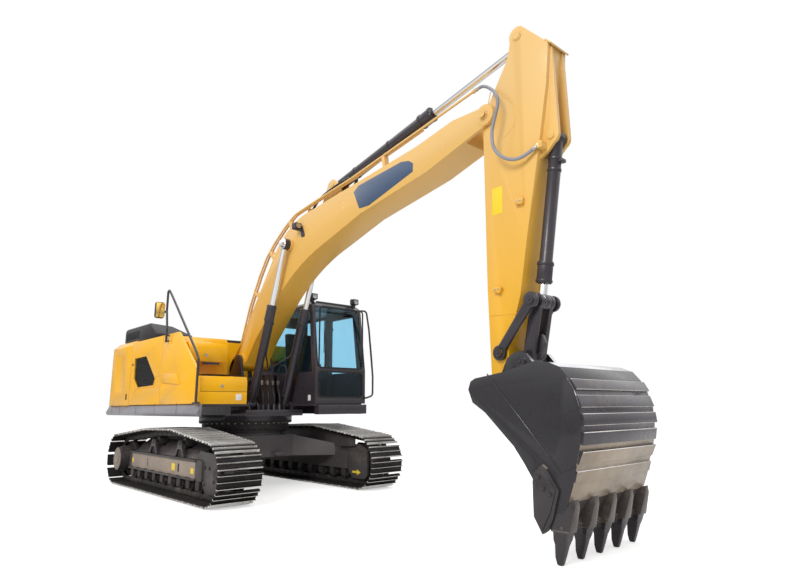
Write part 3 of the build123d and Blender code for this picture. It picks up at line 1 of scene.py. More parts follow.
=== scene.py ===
import math
import bpy
import bmesh
from mathutils import Matrix, Vector
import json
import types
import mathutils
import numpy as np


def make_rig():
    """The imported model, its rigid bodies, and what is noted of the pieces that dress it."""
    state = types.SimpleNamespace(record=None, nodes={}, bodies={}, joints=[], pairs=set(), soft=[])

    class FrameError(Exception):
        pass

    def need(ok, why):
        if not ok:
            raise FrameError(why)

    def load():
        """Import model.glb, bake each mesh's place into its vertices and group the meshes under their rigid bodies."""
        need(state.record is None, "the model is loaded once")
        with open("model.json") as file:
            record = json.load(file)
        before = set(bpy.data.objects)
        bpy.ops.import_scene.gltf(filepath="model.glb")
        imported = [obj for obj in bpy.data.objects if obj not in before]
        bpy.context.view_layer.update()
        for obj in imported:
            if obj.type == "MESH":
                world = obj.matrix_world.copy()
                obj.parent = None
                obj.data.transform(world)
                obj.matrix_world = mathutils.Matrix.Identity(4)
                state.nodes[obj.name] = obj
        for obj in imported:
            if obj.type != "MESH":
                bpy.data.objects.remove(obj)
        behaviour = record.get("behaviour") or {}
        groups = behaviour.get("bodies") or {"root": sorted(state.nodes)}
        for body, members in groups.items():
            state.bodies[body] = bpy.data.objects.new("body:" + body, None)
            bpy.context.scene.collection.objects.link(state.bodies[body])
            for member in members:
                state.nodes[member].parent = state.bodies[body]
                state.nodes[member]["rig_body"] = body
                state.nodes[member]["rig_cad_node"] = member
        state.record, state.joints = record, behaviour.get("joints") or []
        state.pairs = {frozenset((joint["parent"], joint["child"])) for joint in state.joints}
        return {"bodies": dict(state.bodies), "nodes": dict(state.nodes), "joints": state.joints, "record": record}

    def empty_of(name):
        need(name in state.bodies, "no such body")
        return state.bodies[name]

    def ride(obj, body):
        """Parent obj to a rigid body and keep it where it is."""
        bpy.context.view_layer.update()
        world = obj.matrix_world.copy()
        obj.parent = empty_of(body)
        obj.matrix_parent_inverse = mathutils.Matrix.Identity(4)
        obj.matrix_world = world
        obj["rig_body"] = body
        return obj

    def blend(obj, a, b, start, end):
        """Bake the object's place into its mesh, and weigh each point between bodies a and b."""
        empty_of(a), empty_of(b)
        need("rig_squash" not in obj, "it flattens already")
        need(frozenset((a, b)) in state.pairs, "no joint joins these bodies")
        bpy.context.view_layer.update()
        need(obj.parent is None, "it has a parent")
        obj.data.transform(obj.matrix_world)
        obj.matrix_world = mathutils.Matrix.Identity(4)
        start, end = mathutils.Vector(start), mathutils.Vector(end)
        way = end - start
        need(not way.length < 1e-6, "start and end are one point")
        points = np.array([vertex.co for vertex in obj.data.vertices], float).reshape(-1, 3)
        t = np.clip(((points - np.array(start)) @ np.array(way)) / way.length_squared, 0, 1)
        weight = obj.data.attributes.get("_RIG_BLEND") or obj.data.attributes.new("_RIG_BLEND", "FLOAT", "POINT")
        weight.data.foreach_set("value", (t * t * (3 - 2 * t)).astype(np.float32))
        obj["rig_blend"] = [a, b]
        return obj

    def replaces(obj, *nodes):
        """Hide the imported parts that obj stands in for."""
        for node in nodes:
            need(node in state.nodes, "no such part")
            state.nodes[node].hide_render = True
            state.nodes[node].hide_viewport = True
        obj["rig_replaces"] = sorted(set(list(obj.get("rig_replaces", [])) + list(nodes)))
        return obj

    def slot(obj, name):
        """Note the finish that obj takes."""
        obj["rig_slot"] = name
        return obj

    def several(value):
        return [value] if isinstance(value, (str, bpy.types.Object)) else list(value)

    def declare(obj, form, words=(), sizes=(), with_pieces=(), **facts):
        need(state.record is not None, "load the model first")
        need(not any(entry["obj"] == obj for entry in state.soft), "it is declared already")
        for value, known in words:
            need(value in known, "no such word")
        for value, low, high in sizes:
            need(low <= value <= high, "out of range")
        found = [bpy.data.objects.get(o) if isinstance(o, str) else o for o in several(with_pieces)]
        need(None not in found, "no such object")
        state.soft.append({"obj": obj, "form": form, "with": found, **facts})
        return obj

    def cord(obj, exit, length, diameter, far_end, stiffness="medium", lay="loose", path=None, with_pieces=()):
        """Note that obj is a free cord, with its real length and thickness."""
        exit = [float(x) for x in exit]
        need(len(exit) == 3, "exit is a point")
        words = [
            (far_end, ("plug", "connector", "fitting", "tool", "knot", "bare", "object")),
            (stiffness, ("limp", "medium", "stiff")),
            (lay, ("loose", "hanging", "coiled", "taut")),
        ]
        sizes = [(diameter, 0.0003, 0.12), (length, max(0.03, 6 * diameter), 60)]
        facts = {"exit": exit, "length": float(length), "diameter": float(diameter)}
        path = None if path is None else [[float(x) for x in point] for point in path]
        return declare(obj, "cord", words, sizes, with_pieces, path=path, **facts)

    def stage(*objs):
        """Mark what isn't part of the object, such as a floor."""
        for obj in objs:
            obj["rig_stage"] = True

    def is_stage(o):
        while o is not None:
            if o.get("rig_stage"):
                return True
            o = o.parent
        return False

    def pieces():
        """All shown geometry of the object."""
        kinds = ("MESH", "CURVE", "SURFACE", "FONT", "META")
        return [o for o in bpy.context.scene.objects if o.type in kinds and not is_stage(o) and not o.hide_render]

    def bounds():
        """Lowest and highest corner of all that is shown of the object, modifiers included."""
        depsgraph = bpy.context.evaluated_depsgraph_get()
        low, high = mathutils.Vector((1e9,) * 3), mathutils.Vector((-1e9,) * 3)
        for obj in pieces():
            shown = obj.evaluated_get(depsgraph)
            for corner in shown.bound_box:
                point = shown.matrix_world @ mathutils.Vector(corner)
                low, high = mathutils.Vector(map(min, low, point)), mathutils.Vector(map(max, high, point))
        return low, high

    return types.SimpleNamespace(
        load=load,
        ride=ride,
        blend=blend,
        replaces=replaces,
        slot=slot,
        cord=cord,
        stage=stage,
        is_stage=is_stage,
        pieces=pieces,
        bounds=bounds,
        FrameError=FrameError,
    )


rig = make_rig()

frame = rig.load()
first_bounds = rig.bounds()
nodes = frame["nodes"]
SIDES = (("left", 1), ("right", -1))


# ------------------------------------------------------------------ materials
def feed(tree, socket, value):
    """Link a node's output to a socket, or set the socket's number or colour."""
    if isinstance(value, bpy.types.NodeSocket):
        tree.links.new(value, socket)
    elif isinstance(value, tuple):
        socket.default_value = (*value, 1)
    else:
        socket.default_value = value


def noise(tree, place, scale, detail=2.0, rough=0.5):
    node = tree.nodes.new("ShaderNodeTexNoise")
    for key, value in (("Vector", place), ("Scale", scale), ("Detail", detail), ("Roughness", rough)):
        feed(tree, node.inputs[key], value)
    return node.outputs["Fac"]


def spread(tree, value, low, high, to_low=0.0, to_high=1.0):
    """Map a value from one range to another, held at both ends."""
    node = tree.nodes.new("ShaderNodeMapRange")
    for key, number in (("Value", value), ("From Min", low), ("From Max", high), ("To Min", to_low),
                        ("To Max", to_high)):
        feed(tree, node.inputs[key], number)
    return node.outputs["Result"]


def mix(tree, factor, first, second):
    node = tree.nodes.new("ShaderNodeMix")
    node.data_type = "RGBA"
    for key, value in (("Factor", factor), ("A", first), ("B", second)):
        feed(tree, node.inputs[key], value)
    return node.outputs["Result"]


def maths(tree, operation, *values):
    node = tree.nodes.new("ShaderNodeMath")
    node.operation = operation
    for socket, value in zip(node.inputs, values):
        feed(tree, socket, value)
    return node.outputs["Value"]


def upright(tree, vector):
    """A vector's z."""
    node = tree.nodes.new("ShaderNodeSeparateXYZ")
    feed(tree, node.inputs["Vector"], vector)
    return node.outputs["Z"]


def material(name, colour, rough, metal=0.0, coat=0.0, dust_and_shade=0.0, dust_and_shade_colour=(0.36, 0.31, 0.26), mottle=0.12,
             grain=0.1, grain_scale=60.0, gleam=0.4, smudge=0.07, settle_dust_and_shade=0.16, height_tint=None):
    """Painted, cast or moulded surface: uneven colour, settled dust, smudged gloss and fine grain.

    mottle and smudge are how uneven the colour and the gloss are; the settling factor is how far the dust layer
    prefers faces that look up, and where that layer is near black, as on the worn bars, it is painted shade, not dust;
    the height tint, (low, high, colour), moves the colour towards another between two heights.
    """
    m = bpy.data.materials.new(name)
    m.use_nodes = True
    tree = m.node_tree
    shader = tree.nodes["Principled BSDF"]
    place = tree.nodes.new("ShaderNodeTexCoord").outputs["Object"]
    # Broad patches, about half a metre across, and fine smudges.
    large, fine = noise(tree, place, 2.1, 4, 0.6), noise(tree, place, 23.0, 6, 0.6)
    lighter = tuple(min(1, c * (1 + mottle)) for c in colour)
    darker = tuple(c * (1 - mottle) for c in colour)
    last = mix(tree, spread(tree, large, 0.32, 0.68), lighter, darker)
    if height_tint:
        low, high, pale = height_tint
        last = mix(tree, spread(tree, upright(tree, place), low, high), last, pale)
    if dust_and_shade:
        up = upright(tree, tree.nodes.new("ShaderNodeNewGeometry").outputs["Normal"])
        up_bias = maths(tree, "MULTIPLY_ADD", up, settle_dust_and_shade, large)
        smeared = maths(tree, "MULTIPLY_ADD", fine, 0.45, up_bias)
        cover = spread(tree, smeared, 0.98 - 0.5 * dust_and_shade, 1.32 - 0.5 * dust_and_shade)
        last = mix(tree, cover, last, dust_and_shade_colour)
    gloss = spread(tree, fine, 0.3, 0.7, max(0.05, rough - smudge), min(1.0, rough + smudge))
    bump = tree.nodes.new("ShaderNodeBump")
    for key, value in (("Strength", grain), ("Distance", 0.002), ("Height", noise(tree, place, grain_scale, 3, 0.6))):
        feed(tree, bump.inputs[key], value)
    for key, value in (("Base Color", last), ("Roughness", gloss), ("Metallic", metal), ("Coat Weight", coat),
                       ("Coat Roughness", 0.06), ("Specular IOR Level", gleam), ("Normal", bump.outputs["Normal"])):
        feed(tree, shader.inputs[key], value)
    return m


YELLOW = material("body_yellow", (0.93, 0.47, 0.006), 0.26, coat=0.12, mottle=0.02, grain=0.008, grain_scale=1.6,
                  gleam=0.3, smudge=0.012)
# The boom's and arm's yellow is darker than the body yellow: painted shade that offsets the key lamp's highlight on
# them. Between two heights it turns paler towards the top.
PALE = material("boom_yellow", (0.80, 0.415, 0.013), 0.32, coat=0.2, mottle=0.02, grain=0.012, grain_scale=3.0,
                smudge=0.015, height_tint=(1.9, 4.5, (0.72, 0.455, 0.16)))
BLACK = material("black_paint", (0.036, 0.031, 0.039), 0.32, coat=0.2, grain=0.05)
HOOD = material("hood_black", (0.022, 0.020, 0.022), 0.42, mottle=0.3, grain=0.2, gleam=0.25)
GREY = material("skirt_grey", (0.20, 0.195, 0.225), 0.34, coat=0.3, grain=0.05)
DARK = material("frame_paint", (0.055, 0.048, 0.050), 0.42, dust_and_shade=0.5, dust_and_shade_colour=(0.13, 0.11, 0.10), grain=0.15)
# The centre frame's paint is a lighter copy of the frame paint: painted light that lifts it out of its shade.
LIT_LEGS = material("frame_legs_painted_light", (0.115, 0.103, 0.108), 0.4, dust_and_shade=0.3, dust_and_shade_colour=(0.16, 0.14, 0.13), grain=0.1)
BEAM = material("dusty_beam", (0.30, 0.245, 0.205), 0.62, dust_and_shade=0.5, dust_and_shade_colour=(0.40, 0.335, 0.28),
                mottle=0.2, grain=0.2)
TRACK = material("track_steel", (0.026, 0.023, 0.024), 0.5, metal=0.1, dust_and_shade=0.3,
                 dust_and_shade_colour=(0.07, 0.060, 0.055), mottle=0.3, grain=0.15, gleam=0.12)
# Grouser bars: worn steel whose bright colour is also a painted highlight for the sky's glint on their tops; their
# near-black dust layer on up-facing faces is painted shade that darkens the upper run.
WORN_AND_GLINT = material("worn_bar_glint_and_shade", (0.84, 0.80, 0.78), 0.3, metal=0.25, dust_and_shade=0.18, dust_and_shade_colour=(0.014, 0.012, 0.011),
                mottle=0.25, grain=0.2, settle_dust_and_shade=1.1)
CAST = material("cast_steel", (0.035, 0.031, 0.031), 0.55, metal=0.2, dust_and_shade=0.5, dust_and_shade_colour=(0.13, 0.11, 0.10),
                grain=0.35, grain_scale=120.0)
HUB = material("dusty_hub", (0.26, 0.22, 0.19), 0.6, dust_and_shade=0.4, mottle=0.2, grain=0.25)
BUCKET = material("bucket_steel", (0.022, 0.020, 0.025), 0.30, metal=0.2, coat=0.3, mottle=0.10, grain=0.04,
                  grain_scale=18.0)
STRIP = material("wear_strip", (0.075, 0.066, 0.078), 0.28, metal=0.45, coat=0.5, dust_and_shade=0.3,
                 dust_and_shade_colour=(0.20, 0.17, 0.15), mottle=0.2, grain=0.08)
# The bucket's top: bright steel whose brightness is a painted reflection of the sky.
SHELL_REFLECTION = material("shell_top_painted_reflection", (0.72, 0.71, 0.74), 0.22, metal=0.9, mottle=0.1, grain=0.03)
# Worn edge steel, brightened as painted highlights on the rubbing strips' upper edges.
EDGE_HIGHLIGHT = material("worn_edge_painted_highlight", (0.80, 0.76, 0.73), 0.25, metal=0.8, mottle=0.2, grain=0.1)
DUSTY = material("dusty_strip", (0.40, 0.325, 0.25), 0.34, metal=0.3, coat=0.3, dust_and_shade=0.4,
                 dust_and_shade_colour=(0.30, 0.245, 0.20), mottle=0.25, grain=0.08)
TIP = material("tooth_steel", (0.115, 0.098, 0.092), 0.32, metal=0.4, coat=0.3, dust_and_shade=0.4,
               dust_and_shade_colour=(0.26, 0.215, 0.18), mottle=0.3, grain=0.2)
CUTTER = material("cutter_steel", (0.042, 0.036, 0.040), 0.3, metal=0.3, coat=0.4, mottle=0.2, grain=0.15)
CHROME = material("chrome_rod", (0.84, 0.84, 0.86), 0.1, metal=1.0, mottle=0.02, grain=0.02)
PLASTIC = material("moulded_black", (0.015, 0.014, 0.015), 0.5, grain=0.4, grain_scale=300.0)
RUBBER = material("hose_rubber", (0.012, 0.012, 0.013), 0.5, grain=0.3, grain_scale=400.0)
SLEEVE = material("hose_grey", (0.25, 0.26, 0.30), 0.5, mottle=0.2, grain=0.5, grain_scale=260.0)
FABRIC = material("seat_fabric", (0.022, 0.022, 0.026), 0.85, mottle=0.2, grain=0.8, grain_scale=500.0)
ENGINE = material("engine_grey", (0.16, 0.165, 0.17), 0.5, metal=0.5, dust_and_shade=0.3, grain=0.3)
STEEL = material("plated_steel", (0.50, 0.47, 0.40), 0.3, metal=0.85, mottle=0.08, grain=0.1)
LABEL = material("blank_plate", (0.78, 0.78, 0.76), 0.4, mottle=0.03, grain=0.03)
SLATE = material("boom_panel", (0.05, 0.085, 0.16), 0.3, coat=0.3, mottle=0.03, grain=0.005, grain_scale=4.0,
                 smudge=0.02)
MARK = material("yellow_mark", (0.85, 0.62, 0.03), 0.4, mottle=0.05, grain=0.05)
# The mirror's yellow face is a painted reflection.
MIRROR_REFLECTION = material("mirror_face_painted_reflection", (0.90, 0.60, 0.16), 0.12, metal=0.9, mottle=0.1, grain=0.02)
# Near-black rubber and trim for seals, seams, treads, latches, vents and the wiper; on the slots of the shoes and the
# beams it is painted shade.
GASKET_AND_SHADE = material("gasket_and_slot_shade", (0.010, 0.010, 0.011), 0.6, grain=0.2)


def glass(name, colour, clearness):
    """Pane with a coloured see-through and a mirror sheen at a flat angle; on the cab, the sky blue see-through is a
    painted reflection of the sky.
    """
    m = bpy.data.materials.new(name)
    m.use_nodes = True
    tree = m.node_tree
    tree.nodes.remove(tree.nodes["Principled BSDF"])
    place = tree.nodes.new("ShaderNodeTexCoord").outputs["Object"]
    through = tree.nodes.new("ShaderNodeBsdfTransparent")
    tint = mix(tree, noise(tree, place, 1.8), colour, tuple(c * 0.96 for c in colour))
    feed(tree, through.inputs["Color"], tint)
    mirror = tree.nodes.new("ShaderNodeBsdfGlossy")
    mirror.inputs["Roughness"].default_value = 0.02
    # The sheen is the same from both faces of the pane, so its far face stays see-through.
    facing = tree.nodes.new("ShaderNodeLayerWeight").outputs["Facing"]
    sheen = maths(tree, "ADD", maths(tree, "POWER", facing, 5.0), 1 - clearness)
    blend = tree.nodes.new("ShaderNodeMixShader")
    for socket, value in zip(blend.inputs, (sheen, through.outputs["BSDF"], mirror.outputs["BSDF"])):
        feed(tree, socket, value)
    feed(tree, tree.nodes["Material Output"].inputs["Surface"], blend.outputs["Shader"])
    return m


# The cab glass's sky blue see-through colour is a painted reflection of the sky.
PAINTED_SKY_GLASS = glass("cab_glass", (0.74, 0.915, 0.985), 0.97)
LENS = glass("lamp_lens", (0.9, 0.93, 0.95), 0.5)
NODE_LOOK = {
    "centre_frame": LIT_LEGS, "side_frame_left": DARK, "side_frame_right": DARK, "track_left": TRACK,
    "track_right": TRACK, "sprockets": CAST, "idlers": CAST, "bottom_rollers": CAST, "carrier_rollers": DARK,
    "slew_ring_lower": CAST, "slew_ring_upper": CAST, "swing_frame": BLACK, "skirt_left": GREY,
    "skirt_right": GREY, "counterweight": YELLOW, "engine_block": ENGINE, "bay_roof": YELLOW,
    "engine_hood": HOOD, "roof_cover": HOOD, "side_door_right": YELLOW, "side_panel_right": YELLOW,
    "side_door_left_rear": YELLOW, "side_door_left_front": YELLOW, "side_grille": PLASTIC, "tanks": YELLOW,
    "tool_box": YELLOW, "tool_lid": YELLOW, "cab_shell": BLACK, "cab_door": BLACK, "cab_door_glass": PAINTED_SKY_GLASS,
    "cab_windows": PAINTED_SKY_GLASS, "cab_console": PLASTIC, "cab_lamps": BLACK, "cab_handrail": BLACK,
    "handrail_right": BLACK, "seat": FABRIC, "boom": PALE, "boom_pipes": PALE, "boom_lamp": BLACK,
    "arm": PALE, "boom_barrel_left": BLACK, "boom_barrel_right": BLACK, "boom_rod_left": CHROME,
    "boom_rod_right": CHROME, "cylinder_pipes": BLACK, "arm_barrel": BLACK, "arm_rod": CHROME,
    "bucket_barrel": BLACK, "bucket_rod": CHROME, "rocker_pair": BLACK, "h_link": BLACK, "bucket": BUCKET,
    "cylinder_hoses": RUBBER, "foot_hoses": RUBBER, "tip_hose": SLEEVE, "arm_hoses": RUBBER,
}
for name, look in NODE_LOOK.items():
    mesh = nodes[name].data
    mesh.materials.clear()
    mesh.materials.append(look)


# ------------------------------------------------------------------ modelling helpers
def clear():
    """Leave edit mode and select nothing."""
    if bpy.context.mode != "OBJECT":
        bpy.ops.object.mode_set(mode="OBJECT")
    bpy.ops.object.select_all(action="DESELECT")


def pick(*pieces):
    """Select these pieces alone, the first of them active."""
    clear()
    for piece in pieces:
        piece.select_set(True)
    bpy.context.view_layer.objects.active = pieces[0]


def edit_all(piece):
    """Open the piece's mesh with all of it selected."""
    pick(piece)
    bpy.ops.object.mode_set(mode="EDIT")
    bpy.ops.mesh.select_all(action="SELECT")


def select_where(piece, kind, test):
    """In an open mesh, select the faces or edges that pass a test."""
    bpy.ops.mesh.select_all(action="DESELECT")
    bm = bmesh.from_edit_mesh(piece.data)
    for item in getattr(bm, kind):
        item.select_set(test(item))
    bmesh.update_edit_mesh(piece.data)


def merge(pieces):
    """Join the pieces to the first of them."""
    pick(*pieces)
    if len(pieces) > 1:
        bpy.ops.object.join()
    return pieces[0]


def settle(piece):
    """Bake the piece's place into its mesh."""
    piece.data.transform(piece.matrix_world)
    piece.matrix_world = Matrix.Identity(4)
    return piece


def stand(point, axis):
    """Matrix that moves a model's origin to a point and turns its z to an axis."""
    return Matrix.Translation(Vector(point)) @ Vector(axis).to_track_quat("Z", "Y").to_matrix().to_4x4()


def paint(piece, look):
    """Give the whole piece one material."""
    piece.data.materials.clear()
    piece.data.materials.append(look)
    return piece


def smooth(piece, degrees=32):
    pick(piece)
    bpy.ops.object.shade_smooth_by_angle(angle=math.radians(degrees))
    clear()
    return piece


def softened(node, width):
    """Merged copy of a CAD node with its sharp edges rounded; it stands for the node."""
    piece = nodes[node].copy()
    piece.data = nodes[node].data.copy()
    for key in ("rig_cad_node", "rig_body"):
        if key in piece:
            del piece[key]
    piece.parent = None
    piece.name = node + "_look"
    bpy.context.scene.collection.objects.link(piece)
    edit_all(piece)
    bpy.ops.mesh.customdata_custom_splitnormals_clear()
    bpy.ops.mesh.remove_doubles(threshold=0.00005)
    bpy.ops.mesh.dissolve_limited(angle_limit=math.radians(1.0))
    bpy.ops.object.mode_set(mode="OBJECT")
    if width:
        bevel = piece.modifiers.new("edge", "BEVEL")
        bevel.width = width
        bevel.segments = 2
        bevel.limit_method = "ANGLE"
        bevel.angle_limit = math.radians(35)
        bpy.ops.object.modifier_apply(modifier="edge")
    smooth(piece, 34)
    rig.ride(piece, nodes[node]["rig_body"])
    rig.replaces(piece, node)
    return piece


# Width of each CAD node's rounded edges; 0 only merges its faces.
SOFT_EDGES = {
    "side_frame_left": 0.006, "side_frame_right": 0.006, "centre_frame": 0.01, "sprockets": 0.004,
    "idlers": 0.004, "bottom_rollers": 0.004, "carrier_rollers": 0.005, "swing_frame": 0.004,
    "skirt_left": 0.006, "skirt_right": 0.006, "counterweight": 0.03, "bay_roof": 0.004,
    "engine_hood": 0.012, "roof_cover": 0.008, "side_door_right": 0.005, "side_panel_right": 0.005,
    "side_door_left_rear": 0.006, "side_door_left_front": 0.006, "tanks": 0.014, "tool_box": 0.006,
    "tool_lid": 0.014, "cab_shell": 0.020, "cab_door": 0.010, "cab_console": 0.008, "cab_lamps": 0.006,
    "seat": 0.04, "boom": 0.008, "boom_lamp": 0.006, "arm": 0.008, "boom_barrel_left": 0.004,
    "boom_barrel_right": 0.004, "arm_barrel": 0.004, "bucket_barrel": 0.004, "rocker_pair": 0.006,
    "h_link": 0.008, "bucket": 0.005, "boom_rod_left": 0.004, "boom_rod_right": 0.004, "arm_rod": 0.004,
    "bucket_rod": 0.004, "handrail_right": 0.0, "cab_handrail": 0.0, "boom_pipes": 0.0, "cylinder_pipes": 0.0,
    "side_grille": 0.0, "slew_ring_upper": 0.003, "slew_ring_lower": 0.003,
}
looks = {name: softened(name, width) for name, width in SOFT_EDGES.items()}


def finish_faces(name, finishes):
    """Give a piece's faces other finishes; each test reads a face's middle, normal and width."""
    mesh = looks[name].data
    for look, test in finishes:
        mesh.materials.append(look)
        for face in mesh.polygons:
            corners = [mesh.vertices[i].co for i in face.vertices]
            longest = max((a - b).length for a, b in zip(corners, corners[1:] + corners[:1]))
            if test(face.center, face.normal, face.area / longest):
                face.material_index = len(mesh.materials) - 1


# Shell top painted bright as a painted reflection of the sky, rubbing strips, the dusty strips below them, their edges
# (worn, and brightened as painted highlights), teeth and side cutters.
finish_faces("bucket", [
    (SHELL_REFLECTION, lambda at, n, wide: 5.72 < at.x < 6.36 and at.z > 1.40 and n.z > 0.3 and abs(n.y) < 0.3
     and abs(at.y) < 0.64),
    (STRIP, lambda at, n, wide: at.x > 6.30 and n.x > -0.25 and abs(n.y) < 0.5 and 0.56 < at.z < 1.40),
    (DUSTY, lambda at, n, wide: at.x > 6.15 and n.x > 0.5 and abs(n.y) < 0.5 and 0.30 < at.z < 0.90),
    (EDGE_HIGHLIGHT, lambda at, n, wide: at.x > 6.15 and 0.55 < at.z < 1.60 and abs(n.y) < 0.5 and n.z > 0.15
     and wide < 0.018),
    (TIP, lambda at, n, wide: at.z < 0.515 and abs(at.y) < 0.66
     and not (n.x > 0.9 and n.z < -0.3 and at.z > 0.33)),
    (CUTTER, lambda at, n, wide: at.z < 0.235 or (abs(at.y) > 0.620 and 0.24 < at.z < 0.72 and at.x < 6.30)),
])


def cube(middle, size):
    """Box opened for editing, with all of it selected."""
    clear()
    bpy.ops.mesh.primitive_cube_add(size=1, location=middle, scale=size)
    piece = settle(bpy.context.object)
    edit_all(piece)
    return piece


def block(x0, x1, y0, y1, z0, z1, bevel=0.003, segments=2):
    """Box between corners with rounded edges."""
    piece = cube(((x0 + x1) / 2, (y0 + y1) / 2, (z0 + z1) / 2), (x1 - x0, y1 - y0, z1 - z0))
    bpy.ops.mesh.bevel(offset=bevel, segments=segments, affect="EDGES")
    bpy.ops.object.mode_set(mode="OBJECT")
    return smooth(piece)


def rod(start, end, radius, sides=24, bevel=0.002, inner=0.0, dish=0.0):
    """Round bar between two points, its rims rounded; dish moves the far face's middle out, or in if negative."""
    start, end = Vector(start), Vector(end)
    clear()
    bpy.ops.mesh.primitive_cylinder_add(vertices=sides, radius=radius, depth=(end - start).length)
    piece = bpy.context.object
    edit_all(piece)
    bpy.ops.mesh.select_mode(type="FACE")
    select_where(piece, "faces", lambda face: face.normal.z > 0.9)
    if inner:
        bpy.ops.mesh.inset(thickness=radius - inner)
        bpy.ops.transform.translate(value=(0, 0, dish))

    def on_rim(edge):
        level = abs(edge.verts[0].co.z - edge.verts[1].co.z) < 1e-5
        return level and all(abs(v.co.xy.length - radius) < 1e-4 for v in edge.verts)
    select_where(piece, "edges", on_rim)
    bpy.ops.mesh.bevel(offset=bevel, segments=2, affect="EDGES")
    bpy.ops.object.mode_set(mode="OBJECT")
    piece.data.transform(stand((start + end) / 2, end - start))
    return smooth(piece)


def sheet(corners):
    """One flat face over its corner points (in order), opened for editing, and its normal."""
    clear()
    bpy.ops.mesh.primitive_plane_add(size=1)
    piece = bpy.context.object
    bm = bmesh.new()
    face = bm.faces.new([bm.verts.new(Vector(c)) for c in corners])
    bm.normal_update()
    normal = face.normal.copy()
    bm.to_mesh(piece.data)
    bm.free()
    edit_all(piece)
    return piece, normal


def thicken(offset):
    """Extrude the open sheet and turn its faces outwards."""
    bpy.ops.mesh.extrude_region_move(TRANSFORM_OT_translate={"value": tuple(offset)})
    bpy.ops.mesh.select_all(action="SELECT")
    bpy.ops.mesh.normals_make_consistent(inside=False)


def plate(corners, thick, bevel=0.002):
    """Flat plate over its corner points, with its thickness along their normal."""
    piece, normal = sheet(corners)
    thicken(normal * thick)
    bpy.ops.mesh.bevel(offset=bevel, segments=2, affect="EDGES")
    bpy.ops.object.mode_set(mode="OBJECT")
    return smooth(piece)


def frame_ring(corners, border, offset):
    """Flat ring with rounded corners inside its corner points, raised by an offset."""
    ring, _ = sheet(corners)
    bpy.ops.mesh.bevel(offset=0.07, segments=5, affect="VERTICES")
    bpy.ops.mesh.select_all(action="SELECT")
    bpy.ops.mesh.inset(thickness=border)
    bpy.ops.mesh.delete(type="FACE")
    bpy.ops.mesh.select_all(action="SELECT")
    thicken(offset)
    bpy.ops.object.mode_set(mode="OBJECT")
    return smooth(ring)


def copies(model, matrices):
    """The model's mesh once for each matrix; the model itself is removed."""
    made = []
    for matrix in matrices:
        piece = bpy.data.objects.new(model.name, model.data.copy())
        bpy.context.scene.collection.objects.link(piece)
        piece.data.transform(matrix)
        made.append(piece)
    bpy.data.objects.remove(model)
    return made


def joined(pieces, name, look, body, slot=None):
    """One piece from several, riding on a body; a look of None keeps their own paint."""
    piece = merge(pieces)
    piece.name = name
    if look is not None:
        paint(piece, look)
    clear()
    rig.ride(piece, body)
    if slot:
        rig.slot(piece, slot)
    return piece


def skin(corners, thick, look, name, body, slot=None, bevel=0.001):
    return joined([plate(corners, thick, bevel)], name, look, body, slot)


def bolts(spots, radius, height, name, look, body):
    """Hexagon bolts on washers: each spot is (point, normal)."""
    head = rod((0, 0, height * 0.3), (0, 0, height), radius, sides=6, bevel=radius * 0.12)
    washer = rod((0, 0, -0.001), (0, 0, height * 0.34), radius * 1.35, sides=16, bevel=radius * 0.1)
    places = [stand(point, normal) for point, normal in spots]
    return joined(copies(merge([head, washer]), places), name, look, body)


def ring_of(count, radius, centre, axis, turned=0.0):
    """Points on a circle about an axis through the centre, each with the axis as its normal."""
    axis = Vector(axis)
    turn = axis.to_track_quat("Z", "Y")
    out = []
    for index in range(count):
        angle = 2 * math.pi * index / count + turned
        out.append((Vector(centre) + turn @ Vector((radius * math.cos(angle), radius * math.sin(angle), 0)), axis))
    return out


def span(sign, near, far):
    """Two distances from the centre plane as ordered y values on one side."""
    return sorted((sign * near, sign * far))


def on_side(outline, sign, y):
    """An outline of (x, z) points at a distance from the centre plane, in the order that faces it outwards."""
    return [(x, sign * y, z) for x, z in (outline if sign < 0 else outline[::-1])]


# ------------------------------------------------------------------ tracks
AXLE = 0.400  # height of the idler's and the sprocket's axle
PIN = 0.325  # radius of the chain's pin line round them
LOW_PIN = 0.075  # height of the pin line along the ground
IDLER, SPROCKET = (1.790, AXLE), (-1.670, AXLE)
CRESTS = ((0.600, 0.862), (-0.400, 0.848))  # the pin line over the carrier rollers
GAUGE, SHOE, PITCH = 2.38, 0.60, 0.19


def touch(centre, point, turn):
    """Angle at which a straight run to a point leaves a wheel's pin circle."""
    dx, dz = point[0] - centre[0], point[1] - centre[1]
    return math.atan2(dz, dx) + turn * math.acos(PIN / math.hypot(dx, dz))


def stations():
    """Middle of each shoe on the pin line: (x, z, heading)."""
    first, last = touch(IDLER, CRESTS[0], -1), touch(SPROCKET, CRESTS[1], 1)

    def rim(centre, angle):
        return (centre[0] + PIN * math.cos(angle), centre[1] + PIN * math.sin(angle))
    turns = [rim(IDLER, first), CRESTS[0], CRESTS[1], rim(SPROCKET, last)]
    # A straight run is its two ends; an arc is its centre and two angles.
    runs = [((SPROCKET[0], LOW_PIN), (IDLER[0], LOW_PIN)), (IDLER, -math.pi / 2, first)]
    runs += list(zip(turns, turns[1:])) + [(SPROCKET, last, 1.5 * math.pi)]
    sizes = [math.dist(*run) if len(run) == 2 else PIN * (run[2] - run[1]) for run in runs]
    count = round(sum(sizes) / PITCH)
    step = sum(sizes) / count
    out = []
    for index in range(count):
        rest = (index + 0.5) * step
        for run, size in zip(runs, sizes):
            if rest <= size:
                break
            rest -= size
        if len(run) == 2:
            (x0, z0), (x1, z1) = run
            out.append((x0 + rest / size * (x1 - x0), z0 + rest / size * (z1 - z0),
                        math.atan2(z1 - z0, x1 - x0)))
        else:
            angle = run[1] + rest / PIN
            out.append((*rim(run[0], angle), angle + math.pi / 2))
    return out


